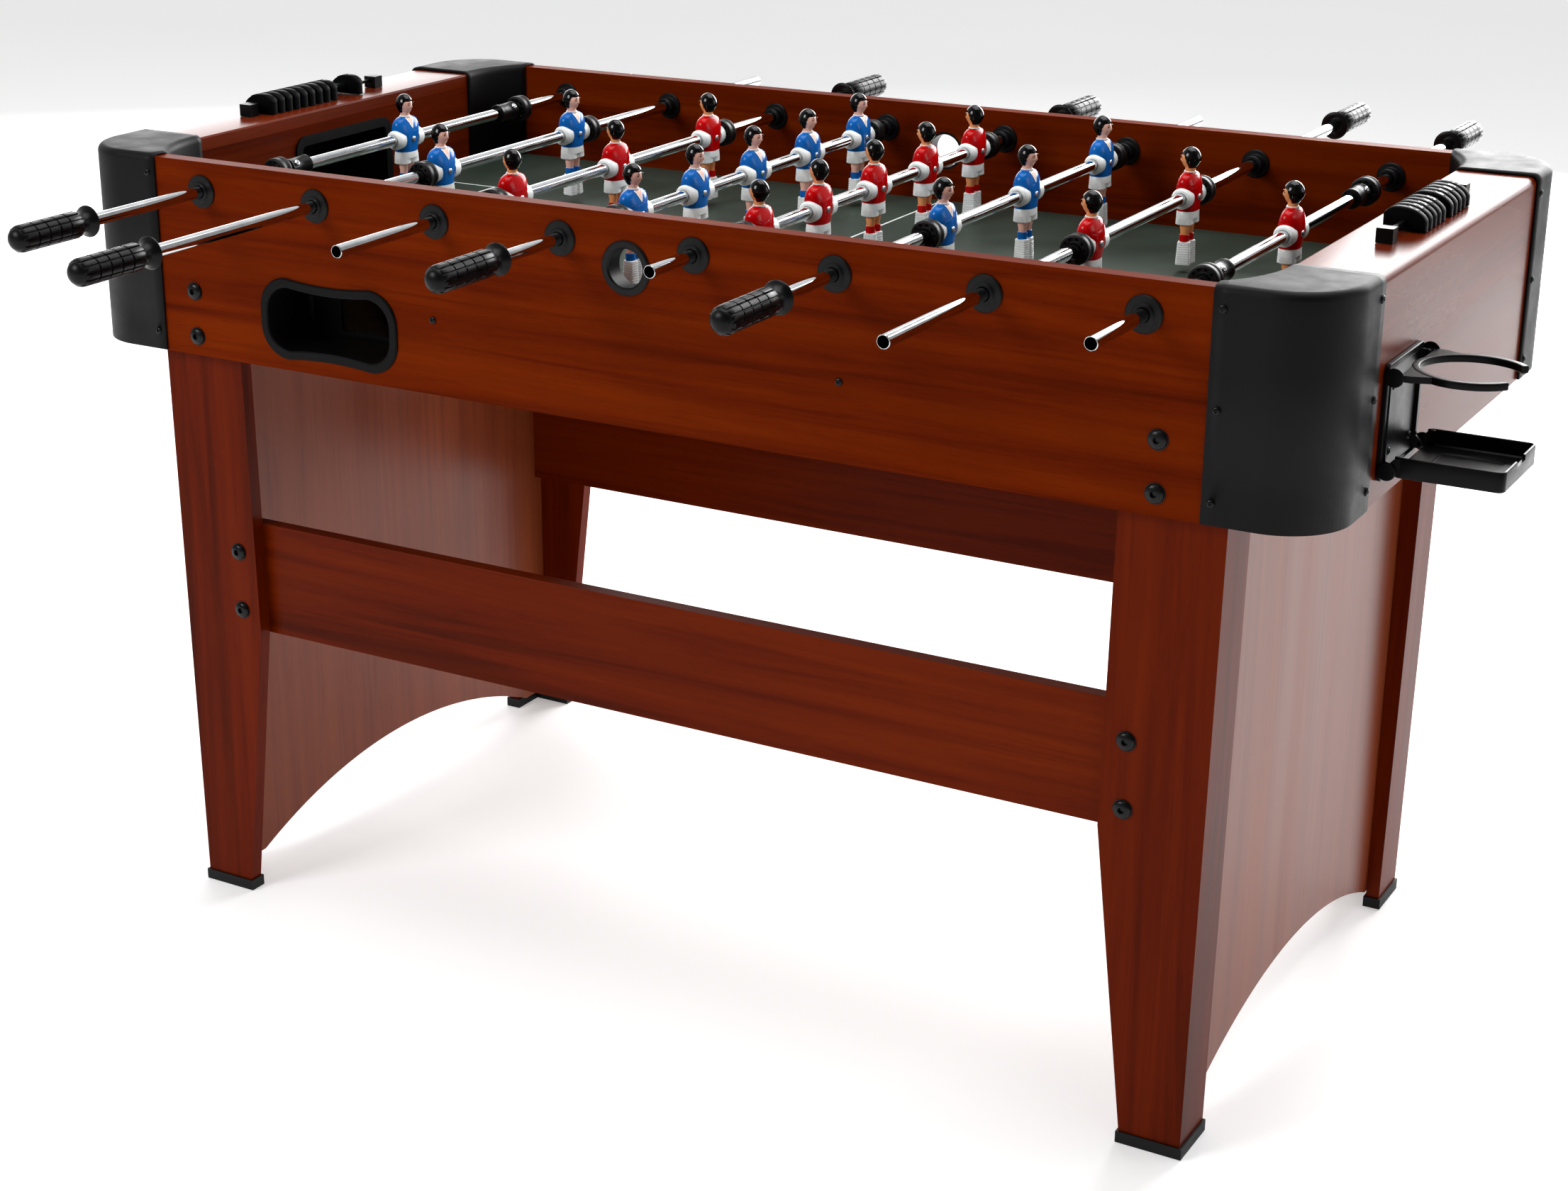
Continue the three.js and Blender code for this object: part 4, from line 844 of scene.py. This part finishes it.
MAN = {
    "shirt": join(shirt, *socks),
    "white": join(*sleeves, *shorts, *collar, *boots),
    "skin": join(head(), neck, bare_chest(), *legs),
    "hair": join(head(hairy=True), *eyes, *brows),
}
MAN_SCREW = screw_head(3.2, 2, lambda x, y: max(abs(x), abs(y)) < 1.8 and min(abs(x), abs(y)) < 0.45, 0.9)


# ---- Rods, rings and handles --------------------------------------------------------------------

def bumper_ring():
    """A rubber ring with ten small pits in each face, from y 0 to its length."""
    segments = 60
    half = RING_LENGTH / 2
    profile = [(6.9, half), (6.9, 1.2), (8, 0.3), (9.6, 0.2), (9.9, 0.2), (12, 0.2), (12.3, 0.2),
               (13.8, 0.3), (14.7, 1), (15, 2.2), (15, 5.4), (14.6, 6), (14.6, half)]
    pitted = (4, 5)
    half_skin = []
    for index, (r, y) in enumerate(profile):
        ring = []
        for i in range(segments):
            sunk = 1.8 if index in pitted and i % 6 in (0, 1) else 0
            a = TURN * i / segments
            ring.append((r * math.cos(a), y + sunk, r * math.sin(a)))
        half_skin.append(ring)
    other = [[(x, RING_LENGTH - y, z) for x, y, z in ring] for ring in reversed(half_skin[1:-1])]
    return loft(half_skin + other, cap=False, loop=True)


HANDLE_LENGTH = 105
HANDLE_CLEAR = 84
ROD_TAIL = 50
TUBE_IN_GRIP = 60
SHADE_PLUG_DEPTH = 60
MAN_FROM_RING = 24
COLLAR = [(6.5, 40), (9.6, 40), (10.5, 39), (10.5, 34), (10.1, 33.4), (10.1, 10), (10.5, 9.4), (10.5, 7),
          (6.5, 6)]
COLLAR_SCREW = 14


def grip():
    """Handle from its cupped guard disc at y 0, over a neck and a ribbed grip, to its domed end."""
    ribs, core, height = 12, 11.7, 1.9
    across = [(0, 0), (0.12, 0), (0.2, 0.9), (0.38, 1), (0.72, 1), (0.9, 0.9), (0.98, 0)]
    stem = [(6.7, 30), (6.7, 0.4), (7.2, 0), (14.8, 0), (15.7, 0.5), (16, 1.3), (15.7, 2.1), (14.4, 3.2),
            (12, 5.8), (10.5, 8.6), (9.7, 11.6), (9.5, 15), (9.9, 16.2)]
    levels = [(17.2, 0.4), (18.4, 0.85), (20, 1)]
    for groove in (36, 51, 66, 81):
        levels += [(groove - 1, 1), (groove - 0.6, 0.3), (groove + 0.6, 0.3), (groove + 1, 1)]
    levels += [(93, 1), (95.5, 0.9), (97.5, 0.6), (98.6, 0.2), (99, 0)]
    levels += [(100, 0), (101, 0), (102, 0), (103, 0), (104, 0), (104.7, 0)]
    rings = []
    for radius, y in stem:
        rings.append([(radius, y, 0)] * ribs * len(across))
    for y, share in levels:
        base = core if y > 19 else core - 1.2 * (19 - y)
        if y > 96:
            base = core * (1 - ((y - 96) / (HANDLE_LENGTH - 96)) ** 2.4) ** 0.5
        rings.append([(base + height * share * up, y, 0) for _ in range(ribs) for _, up in across])
    turned = []
    for ring in rings:
        row = []
        for i, (radius, y, _) in enumerate(ring):
            a = TURN * (i // len(across) + across[i % len(across)][0]) / ribs
            row.append((radius * math.cos(a), y, radius * math.sin(a)))
        turned.append(row)
    turned.append([(0, HANDLE_LENGTH, 0)] * len(turned[0]))
    return loft(turned, cap=False)


RING_MESH = {1: mesh_of("bumper_ring_front_mesh", bumper_ring(), 50)}
RING_MESH[-1] = mesh_of("bumper_ring_back_mesh", flip(bumper_ring(), y=-1), 50)
GRIP_MESH = {s: mesh_of(f"grip_mesh_{s + 1}", flip(grip(), y=s), 40) for s in (-1, 1)}
TEAM = {"blue": (1, -1, BLUE, PINK), "red": (-1, 1, RED, TAN)}

for index, (team, men) in enumerate(LINES):
    label = index + 1
    low, high = [value / MM for value in JOINTS[f"rod_{label}_slide"]["range_m"]]
    rest, travel = -(low + high) / 2, (high - low) / 2
    at = Vector((ROD_X[index], rest, ROD_Z)) + MIDDLE
    face, out, colour, skin = TEAM[team]
    turning, carriage = f"rod_{label}_turning", f"rod_{label}_carriage"
    stop = INNER_Y - BEARING_STUB - RING_LENGTH - 2 * GAP - travel
    tail, grip_from = SIDE_Y + ROD_TAIL + travel, SIDE_Y + HANDLE_CLEAR + travel
    inner, tube_end = ROD_RADIUS - TUBE_WALL, out * (grip_from + TUBE_IN_GRIP)
    tube = lathe([(inner, -out * (tail - 0.3)), (inner + 0.2, -out * tail), (ROD_RADIUS - 0.4, -out * tail),
                  (ROD_RADIUS, -out * (tail - 0.5)), (ROD_RADIUS, tube_end), (inner, tube_end)], 40)
    rod = build(f"rod_tube_{label}", tube, CHROME, turning, at)
    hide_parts(f"rod_{label}")
    # A near-black sleeve and plug inside the tube's open end: painted shade for its hollow.
    depth = -out * (tail - SHADE_PLUG_DEPTH)
    tube_shade_plug = lathe([(inner - 0.02, -out * (tail - 0.5)), (inner - 0.1, depth), (0, depth)], 32, loop=False)
    build(f"rod_shade_plug_{label}", tube_shade_plug, TUBE_SHADE_BLACK, turning, at)

    places = [0] if men == 1 else [(stop - MAN_FROM_RING) * (2 * i / (men - 1) - 1) for i in range(men)]
    looks = {"shirt": (colour, f"shirt_{team}"), "white": (BONE, "figure_white"),
             "skin": (skin, "figure_skin"), "hair": (HAIR, "figure_hair")}
    for part, (material, slot) in looks.items():
        crowd = join(*[move(flip(MAN[part], x=face), y=y) for y in places])
        build(f"men_{part}_{label}", crowd, material, turning, at, crease=45)
    screws = [place(MAN_SCREW, facing((1, 0, 0), 11, y, 0)) for y in places]
    if men == 1:
        collars = []
        for s in (-1, 1):
            collars.append(lathe([(r, s * (stop - short)) for r, short in COLLAR]))
            screws.append(place(PAN_SCREW, facing((0.8, 0, 0.6), 8, s * (stop - COLLAR_SCREW), 6)))
        build(f"collars_{label}", join(*collars), SMOOTH_PLASTIC, turning, at)
    build(f"rod_screws_{label}", join(*screws), SILVER, turning, at, crease=50)

    far_ring = build(f"far_ring_{label}", RING_MESH[-out], RUBBER, turning,
                     at + Vector((0, -out * stop, 0)))
    near_ring = build(f"near_ring_{label}", RING_MESH[out], RUBBER, carriage,
                      at + Vector((0, out * (stop + GAP), 0)))
    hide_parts(f"bumper_ring_{label}")
    held = build(f"grip_{label}", GRIP_MESH[out], GRIP, turning,
                 at + Vector((0, out * grip_from, 0)))
    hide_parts(f"handle_{label}")


# ---- Score counters -----------------------------------------------------------------------------

BEAD_THICK, BEAD_HALF, BEAD_FOOT = 11, 20, 0.6
BEAD_CREST, BEAD_INNER, BEAD_OUTER, BEAD_HEIGHT = -6, 13, 8, 22
SCORE_X = END_X - 40


def bead_top(u):
    """Height of a counter at a place across it, from its inner flank at -20 to its outer one."""
    flank = BEAD_INNER if u < BEAD_CREST else BEAD_OUTER
    reach = BEAD_HALF + BEAD_CREST if u < BEAD_CREST else BEAD_HALF - BEAD_CREST
    share = min(1, abs(u - BEAD_CREST) / reach)
    return BEAD_FOOT + flank + (BEAD_HEIGHT - flank) * math.sqrt(1 - share * share)


def bead():
    """A counter from y 0 to its thickness, its outer side at +X, with rounded edges and a numeral's pad."""
    def outline(inset):
        half = BEAD_HALF - inset
        spots = [BEAD_CREST + (half - BEAD_CREST) * math.cos(TURN / 4 * i / 14) for i in range(14)]
        spots += [BEAD_CREST + (-half - BEAD_CREST) * math.sin(TURN / 4 * i / 10) for i in range(11)]
        foot = BEAD_FOOT + inset
        return [(half, foot)] + [(u, bead_top(u) - inset) for u in spots] + [(-half, foot)]
    layers = [(2.4, 0), (0.8, 0.5), (0, 1.8)]
    layers += [(inset, BEAD_THICK - y) for inset, y in reversed(layers)]
    body = loft([[(x, y, z) for x, z in outline(inset)] for inset, y in layers])
    pad = []
    for step in range(9):
        u = 0.5 + 11 * step / 8
        low, high = bead_top(u) - 1, bead_top(u) + 0.5
        pad.append([(u, 1.4, low), (u, 1.6, high), (u, BEAD_THICK - 1.6, high), (u, BEAD_THICK - 1.4, low)])
    return join(body, loft(pad))


def numeral(text, across):
    """A numeral laid on a counter's pad, its foot towards +X."""
    data = bpy.data.curves.new("numeral", "FONT")
    data.body = text
    data.size = 11
    data.align_x = "CENTER"
    data.offset = 0.2
    data.extrude = 0.15
    data.resolution_u = 6
    thing = bpy.data.objects.new("numeral", data)
    bpy.context.collection.objects.link(thing)
    graph = bpy.context.evaluated_depsgraph_get()
    mesh = bpy.data.meshes.new_from_object(thing.evaluated_get(graph))
    narrow = 0.66 if len(text) > 1 else 1
    points = []
    for vertex in mesh.vertices:
        u = 10.2 - vertex.co.y
        points.append((u, BEAD_THICK / 2 + across * vertex.co.x * narrow, bead_top(u) + vertex.co.z + 0.55))
    faces = [tuple(face.vertices) for face in mesh.polygons]
    bpy.data.objects.remove(thing)
    return points, faces


# for each end: the first counter's Y, counters in each group, the space between the groups
SCORES = {"left": (-99, (9, 1), 34), "right": (-64, (5, 5), 11)}
BEAD_PITCH = 13.75
for end, (first, groups, space) in SCORES.items():
    sx = ENDS[end]
    beads, digits = [], []
    start, number = first, 0
    for count in groups:
        for i in range(count):
            y = start + i * BEAD_PITCH
            beads.append(move(flip(bead(), x=sx), sx * SCORE_X, y, RIM))
            shown = number + 1 if sx > 0 else 10 - number
            digits.append(move(flip(numeral(str(shown), sx), x=sx), sx * SCORE_X, y, RIM))
            number += 1
        start += count * BEAD_PITCH + space
    low, high = box_mm(f"score_counters_{end}")
    low_y, high_y = low.y - MIDDLE.y + 1, high.y - MIDDLE.y - 1
    spine = lathe([(3.3, low_y), (5, low_y), (5, high_y), (3.3, high_y)], 24)
    counters = build(f"counters_on_{end}", join(*beads, move(spine, sx * SCORE_X, 0, RIM + 9)), COUNTER,
                     f"counters_{end}")
    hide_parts(f"score_counters_{end}")
    build(f"numerals_{end}", join(*digits), PRINT, f"counters_{end}")


# ---- Cup holder ---------------------------------------------------------------------------------

holder_low, holder_high = box_mm("cup_holder_bracket")
HOLDER_Y = (holder_low.y + holder_high.y) / 2 - MIDDLE.y
HOLDER_HALF = (holder_high.y - holder_low.y) / 2
HOLDER_MIDDLE_Z = (holder_low.z + holder_high.z) / 2
HOLDER_HALF_Z = (holder_high.z - holder_low.z) / 2
tray_low, tray_high = box_mm("cup_holder_tray")
TRAY_REACH = tray_high.x - MIDDLE.x - END_X
TRAY_HEIGHT = tray_high.z - tray_low.z
HINGE_OUT = 10
HINGES = {name: JOINTS[f"cup_{name}_fold"]["pos_m"][2] / MM for name in ("ring", "tray")}
EAR_OUT, EAR_IN, EYE = HOLDER_HALF - 6.3, HOLDER_HALF - 10.3, 4
PLAN_START = HINGE_OUT + EYE + 0.6
RING_MIDDLE, RING_OPEN, RING_BAND, RING_HALF = 63, 45, 7, 3.5
MOUTH, BRIDGE, BRIDGE_X = 39, 115, 24


def on_holder(shape, z=0.0):
    return move(shape, END_X, HOLDER_Y, z)


def back_plate():
    """Rounded plate with a raised border, standing on the end panel."""
    steps = ((0.3, 0), (4, 0), (4.8, 0.8), (4.8, 6), (3.9, 6.9), (2.6, 7.4))
    rings = [[(x, u, v) for u, v in rounded(HOLDER_HALF - inset, HOLDER_HALF_Z - inset, 7 - inset * 0.7)]
             for x, inset in steps]
    return move(loft(rings), z=HOLDER_MIDDLE_Z)


def ear(sign):
    top, bottom = HINGES["ring"], HINGES["tray"]
    outline = ([(1.6, top + EYE), (1.6, bottom - EYE)] + arc(HINGE_OUT, bottom, EYE, -90, 90, 12)
               + [(6, bottom + 2 * EYE), (6, top - 2 * EYE)] + arc(HINGE_OUT, top, EYE, -90, 90, 12))
    return slab(outline, sign * EAR_IN, sign * EAR_OUT, "Y")


def hinge_pin(sign):
    """Pin through an arm, with a flat round head outside it."""
    profile = [(0, EAR_IN), (2.2, EAR_IN), (2.2, HOLDER_HALF), (8.6, HOLDER_HALF + 0.1),
               (8.8, HOLDER_HALF + 1), (8, HOLDER_HALF + 1.9), (0, HOLDER_HALF + 2.1)]
    return lathe([(r, sign * y) for r, y in profile], 40, loop=False)


pins = [move(hinge_pin(s), HINGE_OUT, 0, z) for s in (-1, 1) for z in HINGES.values()]
plate_screws = [place(PAN_SCREW, facing((1, 0, 0), 2.6, y, HOLDER_MIDDLE_Z + z))
                for y in (-30, 30) for z in (-30, 30)]
bracket = build("holder_bracket_plate", on_holder(join(back_plate(), ear(-1), ear(1), *pins)),
                SMOOTH_PLASTIC, "table", bevel=0.5)
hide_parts("cup_holder_bracket")
build("holder_bracket_screws", on_holder(join(*plate_screws)), STEEL, "table", crease=50)


def arm(sign, outline):
    return slab(outline, sign * (HOLDER_HALF - 6), sign * HOLDER_HALF, "Y")


def ring_band():
    """Open band with rounded edges, turned about the ring's middle."""
    section = [(u + RING_OPEN + RING_BAND / 2, v) for u, v in rounded(RING_BAND / 2, RING_HALF, 1.6, 4)]
    rings = []
    for step in range(73):
        a = math.radians(MOUTH + (360 - 2 * MOUTH) * step / 72)
        rings.append([(RING_MIDDLE + r * math.cos(a), r * math.sin(a), z) for r, z in section])
    return loft(rings)


def ring_bridge():
    """Plate between the arms and the band."""
    shoulder = RING_OPEN + RING_BAND - 0.5
    inner = RING_OPEN + RING_BAND / 2
    meet = math.radians(BRIDGE)
    tip = (RING_MIDDLE + shoulder * math.cos(meet), shoulder * math.sin(meet))
    hollow = [(RING_MIDDLE + u, v) for u, v in arc(0, 0, inner, BRIDGE, 360 - BRIDGE, 40)]
    outline = ([(PLAN_START, HOLDER_HALF), (BRIDGE_X, HOLDER_HALF), tip] + hollow
               + [(tip[0], -tip[1]), (BRIDGE_X, -HOLDER_HALF), (PLAN_START, -HOLDER_HALF)])
    return slab(outline, -RING_HALF + 0.4, RING_HALF - 0.4)


ring_arm = arc(HINGE_OUT, 0, 3.6, 90, 270, 12) + [(PLAN_START + 4, -3.1), (PLAN_START + 4, 3.1)]
ring_shapes = join(ring_band(), ring_bridge(), arm(-1, ring_arm), arm(1, ring_arm))
ring = build("holder_ring_band", on_holder(ring_shapes, HINGES["ring"]), SMOOTH_PLASTIC,
             "cup_ring", bevel=0.5)
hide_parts("cup_holder_ring")


def tray_pan():
    """Shallow pan with a rounded rim and a round hollow in its floor."""
    half_u = (TRAY_REACH - PLAN_START) / 2
    middle = PLAN_START + half_u
    steps = ((0, 1.4), (0.5, 0.4), (1.4, 0), (TRAY_HEIGHT - 1.2, 0), (TRAY_HEIGHT - 0.3, 0.4),
             (TRAY_HEIGHT, 1.2), (TRAY_HEIGHT, 2), (TRAY_HEIGHT - 1, 2.8), (5.4, 3), (4, 4.4))
    rings = [[(middle + u, v, z) for u, v in rounded(half_u - inset, HOLDER_HALF - inset, 7 - inset, 8)]
             for z, inset in steps]
    for z, radius in ((4, 41), (3, 40)):
        angles = [math.atan2(y, x - middle) for x, y, _ in rings[0]]
        rings.append([(middle + radius * math.cos(a), radius * math.sin(a), z) for a in angles])
    return loft(rings)


under = tray_low.z
tray_arm = ([(PLAN_START + 8, 1), (PLAN_START - 2, 1)] + arc(HINGE_OUT, 5, 4, 250, 130, 10)
            + [(PLAN_START, TRAY_HEIGHT - 3.5), (PLAN_START + 4, TRAY_HEIGHT - 0.6),
               (PLAN_START + 8, TRAY_HEIGHT - 0.6)])
tray = build("holder_tray_pan", on_holder(tray_pan(), under), SMOOTH_PLASTIC, "cup_tray")
carve(tray, on_holder(block((0, PLAN_START + 6), (4 - HOLDER_HALF, HOLDER_HALF - 4), (4, 40)), under),
      on_holder(block((TRAY_REACH - 6, TRAY_REACH + 5), (-13, 13), (TRAY_HEIGHT - 5, 40)), under))
soften(tray, 0.5)
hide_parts("cup_holder_tray")
build("holder_tray_arms", on_holder(join(arm(-1, tray_arm), arm(1, tray_arm)), under), SMOOTH_PLASTIC,
      "cup_tray", bevel=0.8)
